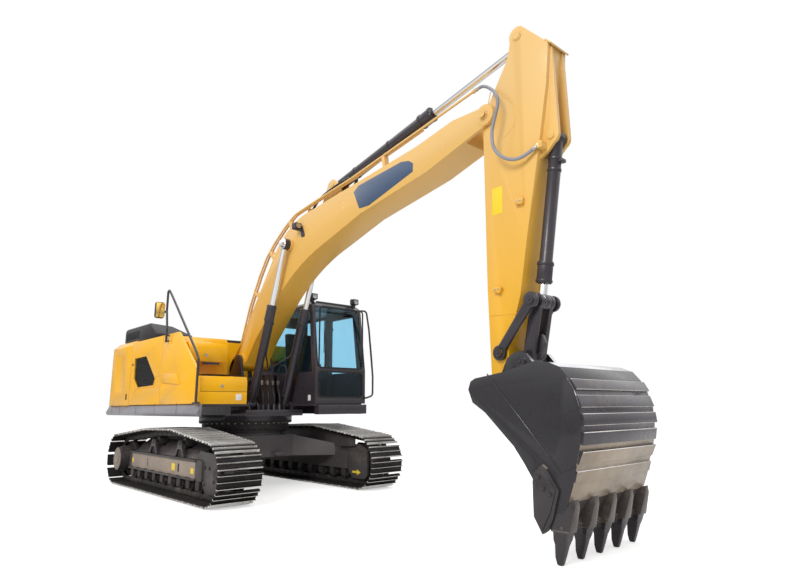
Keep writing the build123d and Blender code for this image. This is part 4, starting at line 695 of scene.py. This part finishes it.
def shoe_model():
    """One shoe in its own axes: x along the track, y across, -z outward from the pin line."""
    shoe = cube((0, 0, -0.042), (0.170, SHOE, 0.013))
    bpy.ops.mesh.bevel(offset=0.003, segments=1, affect="EDGES")
    bpy.ops.object.mode_set(mode="OBJECT")
    parts = [paint(shoe, TRACK)]
    root, tip = 0.040, 0.0745
    for x, width in ((-0.080, 0.016), (0.0, 0.013), (0.078, 0.014)):
        bar = cube((x, 0, -(root + tip) / 2), (width, SHOE, tip - root))
        select_where(bar, "faces", lambda face: face.normal.z < -0.9)
        bpy.ops.transform.resize(value=(0.55, 1, 1))
        bpy.ops.mesh.select_all(action="SELECT")
        bpy.ops.mesh.bevel(offset=0.002, segments=1, affect="EDGES")
        bpy.ops.object.mode_set(mode="OBJECT")
        parts.append(paint(bar, WORN_AND_GLINT))
    # Overlapping lip at the rear, two cleaning slots drawn as thin dark plates whose darkness is painted shade, and
    # four bolts with their nuts between the bars.
    end = SHOE / 2 - 0.01
    parts.append(paint(block(0.080, 0.096, -end, end, -0.045, -0.034, 0.002, 1), TRACK))
    for y in (-0.060, 0.060):
        parts.append(paint(block(0.045, 0.076, y - 0.030, y + 0.030, -0.0492, -0.0475, 0.0005, 1), GASKET_AND_SHADE))
    for x in (-0.048, 0.024):
        for y in (-0.062, 0.062):
            parts.append(paint(rod((x, y, -0.047), (x, y, -0.060), 0.0115, sides=6, bevel=0.0015), TRACK))
            parts.append(paint(rod((x, y, -0.036), (x, y, -0.026), 0.011, sides=6, bevel=0.0015), TRACK))
    return merge(parts)


def link_model():
    """Pair of chain links of one shoe, with the bush and pin between them."""
    parts = [block(-0.090, 0.090, y - 0.011, y + 0.011, -0.030, 0.0445, 0.008, 2) for y in (-0.075, 0.075)]
    parts.append(rod((-0.095, -0.089, 0.006), (-0.095, 0.089, 0.006), 0.024, sides=16, bevel=0.003))
    return merge(parts)


for side, sign in SIDES:
    where = [Matrix.Translation((x, sign * GAUGE / 2, z)) @ Matrix.Rotation(-heading, 4, "Y")
             for x, z, heading in stations()]
    shoes = joined(copies(shoe_model(), where), "shoes_" + side, None, "undercarriage", "track_steel")
    links = joined(copies(link_model(), where), "chain_" + side, CAST, "undercarriage", "cast_steel")
    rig.replaces(shoes, "track_" + side)
    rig.replaces(links, "track_" + side)


# ------------------------------------------------------------------ cords
def spline(name, points, radius, look):
    """Smooth line with the route's points as its control points."""
    curve = bpy.data.curves.new(name, "CURVE")
    curve.dimensions = "3D"
    line = curve.splines.new("NURBS")
    line.points.add(len(points) - 1)
    for point, co in zip(line.points, points):
        point.co = (*co, 1)
    line.order_u = 3
    line.use_endpoint_u = True
    line.resolution_u = 8
    piece = bpy.data.objects.new(name, curve)
    bpy.context.scene.collection.objects.link(piece)
    bpy.context.view_layer.update()
    path = [tuple(v.co) for v in bpy.data.meshes.new_from_object(piece).vertices]
    curve.bevel_depth = radius
    curve.bevel_resolution = 5
    curve.use_fill_caps = True
    bpy.context.view_layer.update()
    depth = bpy.context.evaluated_depsgraph_get()
    tube = bpy.data.objects.new(name, bpy.data.meshes.new_from_object(piece.evaluated_get(depth)))
    bpy.data.objects.remove(piece)
    tube.name = name
    bpy.context.scene.collection.objects.link(tube)
    smooth(paint(tube, look))
    return tube, path


def hose(name, node, points, length, look, bodies):
    """Hydraulic hose between two bodies; it stands for a CAD node."""
    tube, path = spline(name, points, 0.018, look)
    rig.blend(tube, *bodies, start=points[0], end=points[-1])
    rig.replaces(tube, node)
    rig.cord(tube, exit=points[0], length=length, diameter=0.036, far_end="object", stiffness="stiff",
            lay="hanging", path=path)


# Each route's points in metres; the first two are (x, z), run once for each y.
FRONT = ((0.790, 1.262), (0.790, 1.318), (0.783, 1.388), (0.752, 1.450), (0.720, 1.502), (0.720, 1.556))
FRONT_Y = (-0.147, -0.050, 0.050, 0.147)
for index, y in enumerate(FRONT_Y):
    hose(f"cylinder_hose_{index + 1}", "cylinder_hoses", [(x, y, z) for x, z in FRONT], 0.309, RUBBER,
         ("upper", "boom_barrels"))
FOOT = ((-0.240, 1.715), (-0.272, 1.800), (-0.262, 1.893), (-0.208, 1.962), (-0.150, 2.020))
for index, y in enumerate((-0.190, -0.148, 0.148, 0.190)):
    hose(f"foot_hose_{index + 1}", "foot_hoses", [(x, y, z) for x, z in FOOT], 0.350, RUBBER, ("upper", "boom"))
TIP_ROUTE = ((5.250, -0.190, 4.613), (5.322, -0.190, 4.6245), (5.402, -0.200, 4.580), (5.488, -0.226, 4.499),
             (5.582, -0.270, 4.387), (5.622, -0.300, 4.257), (5.573, -0.310, 4.106), (5.522, -0.310, 3.958),
             (5.529, -0.300, 3.793), (5.601, -0.285, 3.686), (5.703, -0.260, 3.615), (5.805, -0.235, 3.606),
             (5.892, -0.211, 3.641), (5.978, -0.190, 3.688))
hose("tip_hose_loop", "tip_hose", TIP_ROUTE, 1.598, SLEEVE, ("boom", "arm"))
ARM_ROUTE = ((1.960, 0.100, 4.100), (2.040, 0.108, 4.152), (2.150, 0.122, 4.205), (2.290, 0.136, 4.240),
             (2.440, 0.142, 4.262), (2.560, 0.143, 4.280), (2.645, 0.136, 4.302), (2.722, 0.105, 4.332))
for side, sign in SIDES:
    hose("arm_hose_" + side, "arm_hoses", [(x, sign * y, z) for x, y, z in ARM_ROUTE], 0.812, RUBBER,
         ("boom", "arm_barrel"))

# ------------------------------------------------------------------ undercarriage trim
BEAM_EDGE = 1.3575  # outer face of the side beams
FIRST_FOOT, FOOT_STEP = -1.201, 0.31525  # feet under the side beams
WALL = [(1.62, 0.62), (1.18, 0.60), (-1.15, 0.60), (-1.42, 0.64), (-1.42, 0.745), (-0.400, 0.856), (0.600, 0.870),
        (1.62, 0.735)]
CHEEK = [(1.22, 0.50), (1.86, 0.44), (1.86, 0.56), (1.72, 0.64), (1.30, 0.655), (1.22, 0.60)]
CHEEK_THICK = 0.009
for side, sign in SIDES:
    joined([block(-1.205, 1.215, *span(sign, 1.351, BEAM_EDGE), 0.300, 0.511, 0.002)], "beam_face_" + side, BEAM,
           "undercarriage", "frame_grey")
    # Thin dark plates stand for the beam's slots; their darkness is painted shade.
    joined([block(0.645, 0.695, *span(sign, 1.356, 1.3590), 0.352, 0.462, 0.0015),
            block(-0.52, -0.50, *span(sign, 1.356, 1.3585), 0.345, 0.47, 0.001)],
           "beam_slot_shade_" + side, GASKET_AND_SHADE, "undercarriage", "frame_grey")
    # Yellow marks: x, z, half width and half height.
    marks = [block(x - half, x + half, *span(sign, 1.357, 1.3595), z - tall, z + tall, 0.0015)
             for x, z, half, tall in ((-1.165, 0.405, 0.032, 0.036), (0.485, 0.405, 0.062, 0.048),
                                      (1.128, 0.392, 0.048, 0.036))]
    joined(marks, "lift_marks_" + side, MARK, "undercarriage")
    skin(on_side(WALL, sign, 1.018), 0.010, DARK, "frame_wall_" + side, "undercarriage", "frame_grey", 0.002)
    feet = [FIRST_FOOT + FOOT_STEP * i + step for i in range(9) for step in (-0.034, 0.034)]
    bolts([((x, sign * 1.369, 0.297), (0, 0, 1)) for x in feet if x < 1.22], 0.011, 0.011, "foot_bolts_" + side,
          CAST, "undercarriage")
    x, z = SPROCKET
    out = (0, sign, 0)
    hub = [rod((x, sign * 1.443, z), (x, sign * 1.4495, z), 0.176, 40, 0.003),
           rod((x, sign * 1.447, z), (x, sign * 1.462, z), 0.085, 32, 0.006, 0.05, 0.002)]
    joined(hub, "hub_cover_" + side, HUB, "undercarriage", "cast_steel")
    bolts(ring_of(18, 0.152, (x, sign * 1.449, z), out), 0.011, 0.010, "hub_bolts_" + side, HUB, "undercarriage")
    bolts(ring_of(24, 0.192, (x, sign * 1.376, z), out), 0.009, 0.008, "case_bolts_" + side, CAST, "undercarriage")
    guard = [((x, sign * 1.330, z), out) for x, z in ((1.46, 0.455), (1.60, 0.455), (1.46, 0.25), (1.74, 0.30))]
    bolts(guard, 0.019, 0.016, "guard_bolts_" + side, CAST, "undercarriage")
    # The right cheeks stand outwards from these planes, the left ones a thickness further out.
    shift = 0.0 if sign < 0 else CHEEK_THICK
    cheeks = [plate(on_side(CHEEK, sign, y + shift), CHEEK_THICK, 0.002) for y in (1.051, 1.320)]
    joined(cheeks, "idler_cheeks_" + side, DARK, "undercarriage", "frame_grey")
    x, z = IDLER
    caps = [rod((x, sign * 1.329, z), (x, sign * 1.343, z), 0.066, 28, 0.004, 0.04, -0.004)]
    caps += [rod((x, sign * 1.335, z), (x, sign * 1.345, z), 0.034, 20, 0.003)
             for x, z in ((0.600, 0.738), (-0.400, 0.724))]
    joined(caps, "axle_caps_" + side, CAST, "undercarriage", "cast_steel")
arrow = [(x, 1.0500, z) for x, z in ((1.50, 0.215), (1.62, 0.215), (1.62, 0.188), (1.71, 0.230), (1.62, 0.272),
                                     (1.62, 0.245), (1.50, 0.245))]
skin(arrow, 0.002, MARK, "travel_arrow", "undercarriage", bevel=0.0005)
RING_BOLTS = 44
bolts(ring_of(RING_BOLTS, 0.716, (0, 0, 0.982), (0, 0, -1)), 0.012, 0.013, "ring_bolts_upper", STEEL, "upper")
bolts(ring_of(RING_BOLTS, 0.621, (0, 0, 0.878), (0, 0, 1), 0.07), 0.011, 0.012, "ring_bolts_lower", STEEL,
      "undercarriage")

# ------------------------------------------------------------------ body trim
DOOR_FACE, SKIRT_FACE = 1.368, 1.3955  # outer faces, from the centre plane
LIFT_EYE, EXHAUST = (-2.73, 2.412), (-2.02, -0.42)  # the eyes' bores (x, z), the pipe (x, y)
relief = [(x, -1.369, z) for x, z in ((-0.120, 1.738), (-0.154, 1.600), (0.573, 1.548), (0.422, 1.720))]
skin(relief, 0.010, YELLOW, "panel_relief", "upper", "yellow_paint", 0.005)
for side, sign in SIDES:
    joined([block(-1.758, -1.700, *span(sign, 1.366, 1.3735), 1.362, 1.462, 0.003)], "rear_latch_" + side, GASKET_AND_SHADE,
           "upper")
slats = [block(-1.53, -1.20, DOOR_FACE, 1.3735, 1.62 + 0.045 * i, 1.645 + 0.045 * i, 0.002) for i in range(10)]
joined(slats, "door_louvres", PLASTIC, "door_left_rear")
vents = [block(-2.27 + 0.075 * i, -2.235 + 0.075 * i, -1.2745, -1.268, 2.43, 2.56, 0.0025) for i in range(9)]
for x in [-2.22 + 0.13 * i for i in range(8)]:
    vents.append(plate([(x, -1.215, 2.6345), (x + 0.07, -1.215, 2.6345), (x + 0.07, -0.945, 2.6045),
                        (x, -0.945, 2.6045)], 0.009, 0.003))
joined(vents, "hood_vents", GASKET_AND_SHADE, "engine_hood")
for _, sign in SIDES:
    eye = block(-2.80, -2.66, *span(sign, 0.685, 0.715), 2.370, 2.445, 0.014, 3)
    x, z = LIFT_EYE
    joined([eye, rod((x, sign * 0.680, z), (x, sign * 0.720, z), 0.022, 24, 0.003, 0.016, -0.004)], "weight_eye",
           YELLOW, "upper", "yellow_paint")
stack = [rod((*EXHAUST, 2.26), (*EXHAUST, 2.50), 0.058, 36, 0.004, 0.050, -0.06),
         rod((*EXHAUST, 2.30), (*EXHAUST, 2.365), 0.085, 36, 0.006)]
joined(stack, "exhaust", HOOD, "upper")
joined([block(-1.545, -1.480, -1.374, -DOOR_FACE, 1.93, 1.965, 0.002)], "door_latch_right", BLACK, "door_right")
for door, x in (("door_left_rear", -1.09), ("door_left_front", -0.53)):
    joined([block(x - 0.03, x + 0.03, DOOR_FACE, 1.374, 1.80, 1.835, 0.002)], "latch_" + door, BLACK, door)
seams = [block(x - 0.004, x + 0.004, *span(sign, SKIRT_FACE, 1.3972), 1.128, 1.290, 0.0005)
         for sign in (-1, 1) for x in (-2.35, -1.93, -1.12, -0.30, 0.55)]
joined(seams, "skirt_seams", GASKET_AND_SHADE, "upper")
joined([rod((1.172, -1.019, 1.512), (1.180, -1.019, 1.512), 0.024, 24, 0.003, 0.015, -0.002)], "lid_latch", STEEL,
       "tool_lid")
joined([rod((0.585, -1.010, 1.986), (0.592, -1.010, 1.986), 0.026, 24, 0.003, 0.015, -0.002)], "tank_latch", STEEL,
       "upper")
joined([block(1.1725, 1.1755, -0.800, -0.712, 1.318, 1.405, 0.0015)], "box_plate", LABEL, "upper")
joined([block(0.584, 0.598, -1.07, -0.80, 1.850, 1.885, 0.005)], "tank_handle", BLACK, "upper")
treads = [block(0.60 + 0.06 * i, 0.63 + 0.06 * i, -1.26, -0.70, 1.6745, 1.6790, 0.0015) for i in range(9)]
joined(treads, "lid_treads", GASKET_AND_SHADE, "tool_lid")
# The mirror's yellow is a painted reflection.
skin([(-0.0205, y, z) for y, z in ((-1.582, 2.582), (-1.454, 2.582), (-1.454, 2.808), (-1.582, 2.808))], 0.003,
     MIRROR_REFLECTION, "mirror_glass", "upper")

# ------------------------------------------------------------------ cab trim
CAB_FRONT, INNER_EDGE, OUTER_EDGE = 1.3935, 0.447, 1.338  # the front windows' x, and the y of their edges
for z0, z1, name in ((1.352, 1.773, "low"), (1.807, 2.798, "high")):
    ring = frame_ring([(CAB_FRONT, INNER_EDGE, z0), (CAB_FRONT, OUTER_EDGE, z0), (CAB_FRONT, OUTER_EDGE, z1),
                       (CAB_FRONT, INNER_EDGE, z1)], 0.026, (0.006, 0, 0))
    joined([ring], "seal_" + name, GASKET_AND_SHADE, "upper")
joined([rod((1.402, 0.58, 1.86), (1.402, 0.55, 2.42), 0.006, 12, 0.001),
        block(1.3995, 1.4060, 0.540, 0.552, 2.05, 2.60, 0.002),
        rod((1.396, 0.58, 1.86), (1.408, 0.58, 1.86), 0.018, 16, 0.003)], "wiper", GASKET_AND_SHADE, "upper")
lenses = [rod((1.249, y, 2.968), (1.256, y, 2.968), 0.042, 28, 0.003, 0.034, -0.002) for y in (0.458, 1.298)]
joined(lenses, "cab_lenses", LENS, "upper")
joined([rod((1.874, -0.283, 3.850), (1.881, -0.283, 3.850), 0.040, 28, 0.003, 0.033, -0.002)], "boom_lens", LENS,
       "boom")
joined([block(0.1, 0.95, 0.62, 1.17, 2.879, 2.892, 0.006), block(0.18, 0.30, 0.85, 0.95, 2.890, 2.905, 0.004)],
       "roof_hatch", BLACK, "upper")
joined([block(1.205, 1.275, 0.3970, 0.4005, 1.315, 1.400, 0.001)], "cab_plate", LABEL, "upper")
joined([block(0.47, 0.60, 1.409, 1.428, 1.70, 1.735, 0.006)], "door_handle", PLASTIC, "cab_door")

# ------------------------------------------------------------------ boom and arm trim
ARM_FACE, BOOM_FACE, WELD = 0.159, 0.204, 0.005  # side faces from the centre plane, and the welds' radius
PANEL = [(3.098, 4.035), (3.222, 3.775), (3.420, 3.765), (4.244, 3.970), (4.250, 4.075), (4.178, 4.130),
         (4.042, 4.160), (3.205, 4.100)]
for side, sign in SIDES:
    skin(on_side(PANEL, sign, 0.2055), 0.004, SLATE, "boom_panel_" + side, "boom", bevel=0.0015)
# Pin caps: the pin's (x, z), the y of its end, the cap's radius and its body.
for (x, z), end, radius, body in (((5.358, 4.262), 0.250, 0.043, "boom"), ((5.795, 5.010), 0.170, 0.046, "arm")):
    for _, sign in SIDES:
        y = sign * end
        cap = rod((x, y - sign * 0.002, z), (x, y + sign * 0.008, z), radius, 28, 0.003, radius * 0.7, -0.003)
        joined([cap], "pin_cap", PALE, body, "yellow_paint")
LINK_PINS = (((5.413, 1.717), 0.2150, 0.046, "rocker"), ((5.806, 2.190), 0.2140, 0.047, "rocker"),
             ((5.421, 1.340), 0.2240, 0.047, "bucket"), ((5.673, 1.611), 0.2270, 0.055, "bucket"))
for _, sign in SIDES:
    for (x, z), end, radius, body in LINK_PINS:
        cap = [rod((x, sign * (end - 0.002), z), (x, sign * (end + 0.010), z), radius, 28, 0.003, radius * 0.55,
                   -0.003),
               rod((x, sign * (end + 0.004), z), (x, sign * (end + 0.013), z), radius * 0.3, 6, 0.002)]
        joined(cap, "link_pin_cap", BLACK, body, "black_paint")
skin([(x, -ARM_FACE, z) for x, z in ((5.385, 3.425), (5.375, 3.135), (5.505, 3.135), (5.515, 3.425))], 0.003, MARK,
     "arm_plate", "arm")
for x, z, slope in ((5.735, 3.19, 0.1), (5.424, 2.346, 0.35)):
    tab = block(-0.045, 0.045, -0.205, -0.158, -0.032, 0.032, 0.006)
    tab.data.transform(Matrix.Translation((x, 0, z)) @ Matrix.Rotation(slope, 4, "Y"))
    joined([tab], "arm_tab", PALE, "arm", "yellow_paint")
    bolts([((x - 0.02, -0.205, z), (0, -1, 0)), ((x + 0.02, -0.205, z), (0, -1, 0))], 0.008, 0.006, "tab_bolts",
          STEEL, "arm")
# Weld seams on the arm's and the boom's side plates, from one (x, z) to the next.
ARM_SEAMS = (((5.282, 2.10), (5.625, 2.085)), ((5.31, 4.16), (5.42, 4.52)))
PIVOT_SEAM = ((5.552, 4.426), (5.677, 4.327), (5.738, 4.212), (5.728, 4.055), (5.657, 3.983), (5.569, 3.941))
BOOM_SEAMS = (((2.837, 4.090), (2.892, 3.740)), ((4.711, 4.285), (4.760, 3.990)))
for _, sign in SIDES:
    for (xa, za), (xb, zb) in ARM_SEAMS:
        y = sign * (ARM_FACE + 0.0005)
        joined([rod((xa, y, za), (xb, y, zb), WELD, 10, 0.001)], "arm_weld", PALE, "arm", "yellow_paint")
    arc, _ = spline("pivot_weld", [(x, sign * 0.1597, z) for x, z in PIVOT_SEAM], 0.0045, PALE)
    joined([arc], "pivot_weld", None, "arm", "yellow_paint")
    for (xa, za), (xb, zb) in BOOM_SEAMS:
        y = sign * BOOM_FACE
        joined([rod((xa, y, za), (xb, y, zb), WELD, 10, 0.001)], "boom_weld", PALE, "boom", "yellow_paint")


# ------------------------------------------------------------------ cylinder trim
def cylinder_axis(pins, y=0.0):
    """A cylinder's base pin, and the direction from it to the rod's pin."""
    base, top = (Vector((x, y, z)) for x, z in pins)
    return base, (top - base).normalized()


def collar(pins, y, near, far, radius):
    """Sleeve round a cylinder's axis between two distances from its base pin."""
    base, run = cylinder_axis(pins, y)
    return rod(base + run * near, base + run * far, radius, 40, 0.003)


def band(pins, near, far, radius):
    """Clamp ring round a barrel, open in the middle."""
    clear()
    bpy.ops.mesh.primitive_cylinder_add(vertices=40, radius=radius, depth=far - near, end_fill_type="NOTHING")
    ring = bpy.context.object
    shell = ring.modifiers.new("wall", "SOLIDIFY")
    shell.thickness = 0.007
    shell.offset = -1
    bpy.ops.object.modifier_apply(modifier="wall")
    rims = ring.modifiers.new("rims", "BEVEL")
    rims.width = 0.002
    rims.segments = 2
    bpy.ops.object.modifier_apply(modifier="rims")
    base, run = cylinder_axis(pins)
    ring.data.transform(stand(base + run * (near + far) / 2, run))
    return smooth(ring)


BOOM_PINS = ((0.690, 1.260), (1.545, 3.630))
ARM_PINS = ((2.480, 4.350), (5.795, 5.010))
BUCKET_PINS = ((6.090, 3.790), (5.806, 2.190))
# The barrel's and the rod's body, their pins and their y, how far along the gland ends, its length and radius, how
# loosely its collars sit, and the radius and half width of the rod's eye.
CYLINDERS = (
    ("boom_barrels", "boom_rods", BOOM_PINS, (-0.300, 0.300), 1.560, 0.240, 0.073, 0.0, 0.085, 0.044),
    ("arm_barrel", "arm_rod", ARM_PINS, (0.0,), 1.960, 0.210, 0.089, 0.003, 0.088, 0.052),
    ("bucket_barrel", "bucket_rod", BUCKET_PINS, (0.0,), 1.440, 0.210, 0.075, 0.003, 0.080, 0.048),
)
for barrel, stem, pins, rows, gland, head, radius, loose, eye, half in CYLINDERS:
    x, z = pins[1]
    for y in rows:
        base, run = cylinder_axis(pins, y)
        rings = [collar(pins, y, near, far, radius + 0.004 + loose)
                 for near, far in ((gland - head + 0.012, gland - head + 0.040), (gland - 0.030, gland - 0.006))]
        joined(rings, barrel + "_head", BLACK, barrel, "black_paint")
        bolts(ring_of(8, radius - 0.013, base + run * gland, run), 0.008, 0.009, barrel + "_head_bolts", BLACK,
              barrel)
        joined([rod((x, y - half + 0.0005, z), (x, y + half - 0.0005, z), eye + 0.0015, 48, 0.003)],
               stem + "_eye", BLACK, stem, "black_paint")
joined([band(BUCKET_PINS, d, d + 0.026, 0.070) for d in (0.20, 0.31)] +
       [block(6.105, 6.150, -0.040, 0.040, 3.525, 3.560, 0.006)], "bucket_barrel_bands", BLACK, "bucket_barrel")
joined([band(ARM_PINS, d, d + 0.03, 0.084) for d in (0.42, 1.15)], "arm_barrel_bands", BLACK, "arm_barrel")
joined([rod((0.720, y, 1.562), (0.720, y, 1.628), 0.0245, 6, 0.003) for y in FRONT_Y], "hose_fittings", STEEL,
       "boom_barrels")
for (end, after), body in ((TIP_ROUTE[:2], "boom"), (TIP_ROUTE[:-3:-1], "arm")):
    end, after = Vector(end), Vector(after)
    step = (after - end).normalized()
    joined([rod(end - step * 0.012, end + step * 0.050, 0.0215, 24, 0.002),
            rod(end - step * 0.02, end + step * 0.008, 0.025, 6, 0.002)], "ferrule", STEEL, body)

# ------------------------------------------------------------------ bucket trim
SIDE_FACE, CUTTER_SIDE = 0.6222, 0.6515  # the side plates' weld and the cutters' outer face, from the centre plane
CUTTER_FACE = [(6.060, 0.350), (6.120, 0.250), (6.205, 0.395), (6.262, 0.560), (6.170, 0.700), (6.085, 0.700)]
for _, sign in SIDES:
    y = sign * SIDE_FACE
    joined([rod((5.600, y, 1.490), (6.300, y, 0.690), 0.006, 10, 0.001)], "side_weld", BUCKET, "bucket",
           "bucket_steel")
    skin(on_side(CUTTER_FACE, sign, CUTTER_SIDE), 0.010, CUTTER, "cutter_face", "bucket", "bucket_steel", 0.003)
    heads = [((x, sign * 0.661, z), (0, sign, 0)) for x, z in ((6.110, 0.655), (6.150, 0.570), (6.212, 0.530))]
    bolts(heads, 0.020, 0.016, "cutter_bolts", CUTTER, "bucket")
STRIP_ENDS = ((6.444, 1.415), (6.489, 1.288), (6.526, 1.145), (6.528, 1.005), (6.505, 0.857), (6.447, 0.711),
              (6.486, 1.338), (6.518, 1.199), (6.533, 1.059))
# Bright rods along the strips' edges: worn steel, brightened as painted highlights.
edges = [rod((x - 0.0035, -0.6205, z - 0.002), (x - 0.0035, 0.6205, z - 0.002), 0.0042, 8, 0.001)
         for x, z in STRIP_ENDS]
joined(edges, "strip_edge_highlights", EDGE_HIGHLIGHT, "bucket", "bucket_steel")
TOOTH_STEP = (0.622 - 0.040) / 2
TOOTH_PIN = (6.285, 0.285)
lugs = []
for y in [index * TOOTH_STEP for index in range(-2, 3)]:
    x, z = TOOTH_PIN
    lugs.append(rod((x, y - 0.058, z), (x, y + 0.058, z), 0.014, 16, 0.002))
    lugs.append(block(6.195, 6.345, y - 0.060, y + 0.060, 0.250, 0.266, 0.004))
joined(lugs, "tooth_pins", TIP, "bucket", "bucket_steel")

# ------------------------------------------------------------------ stage, light and camera
clear()
bpy.ops.mesh.primitive_plane_add(size=400, location=(0, 0, -0.002))
floor = bpy.context.object
floor.name = "floor"
white = bpy.data.materials.new("floor")
white.use_nodes = True
ground = white.node_tree
seen = ground.nodes.new("ShaderNodeLightPath").outputs["Is Camera Ray"]
for key, value in (("Base Color", (0.80, 0.80, 0.80)), ("Roughness", 0.95), ("Specular IOR Level", 0.1),
                   ("Emission Color", (1.0, 1.0, 1.0)), ("Emission Strength", maths(ground, "MULTIPLY", seen, 0.55))):
    feed(ground, ground.nodes["Principled BSDF"].inputs[key], value)
paint(floor, white)
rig.stage(floor)

# White behind the machine, a graded sky in its gloss, and softer light on its dull faces.
world = bpy.data.worlds.new("sky")
bpy.context.scene.world = world
world.use_nodes = True
sky = world.node_tree
ray = sky.nodes.new("ShaderNodeLightPath").outputs
height = upright(sky, sky.nodes.new("ShaderNodeTexCoord").outputs["Generated"])
plain = maths(sky, "MAXIMUM", ray["Is Camera Ray"], ray["Is Transmission Ray"])
gloss = maths(sky, "MULTIPLY", ray["Is Glossy Ray"], spread(sky, height, -0.02, 0.40, 0.30, 1.25))
dull = maths(sky, "MULTIPLY", ray["Is Diffuse Ray"], 0.60)
total = maths(sky, "MAXIMUM", plain, maths(sky, "MAXIMUM", gloss, dull))
feed(sky, sky.nodes["Background"].inputs["Color"], (1.0, 1.0, 1.0))
feed(sky, sky.nodes["Background"].inputs["Strength"], total)


def lamp(name, place, target, size, power, tint=(1, 1, 1)):
    data = bpy.data.lights.new(name, "AREA")
    data.shape = "RECTANGLE"
    data.size, data.size_y = size
    data.energy = power
    data.color = tint
    light = bpy.data.objects.new(name, data)
    bpy.context.scene.collection.objects.link(light)
    light.location = place
    light.rotation_mode = "QUATERNION"
    light.rotation_quaternion = (Vector(target) - Vector(place)).to_track_quat("-Z", "Y")


# Each lamp's place, what it looks at, its size in metres, its power in watts and its tint.
lamp("key", (9, -17, 13), (2, 0, 1.5), (8, 8), 2350, (1.0, 0.985, 0.95))
lamp("top", (3, 2, 15), (3, 0, 0), (12, 8), 700)

EYE = (8.9606, -4.7587, 1.2078)
YAW, PITCH_UP, ROLL = math.radians(137.6946), math.radians(11.742), -0.0078
data = bpy.data.cameras.new("camera")
data.sensor_width = 36
data.lens = 26.34
data.clip_start, data.clip_end = 0.05, 600
camera = bpy.data.objects.new("camera", data)
bpy.context.scene.collection.objects.link(camera)
ahead = Vector((math.cos(PITCH_UP) * math.cos(YAW), math.cos(PITCH_UP) * math.sin(YAW), math.sin(PITCH_UP)))
right = Vector((math.sin(YAW), -math.cos(YAW), 0))
up = right.cross(ahead)
right, up = math.cos(ROLL) * right + math.sin(ROLL) * up, math.cos(ROLL) * up - math.sin(ROLL) * right
turn = Matrix((right, up, -ahead)).transposed().to_4x4()
camera.matrix_world = Matrix.Translation(EYE) @ turn
bpy.context.scene.camera = camera
bpy.context.scene.view_settings.view_transform = "Standard"

last_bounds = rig.bounds()
with open("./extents.json", "w") as f:
    f.write(str([[list(map(float, v)) for v in first_bounds], [list(map(float, v)) for v in last_bounds]]))
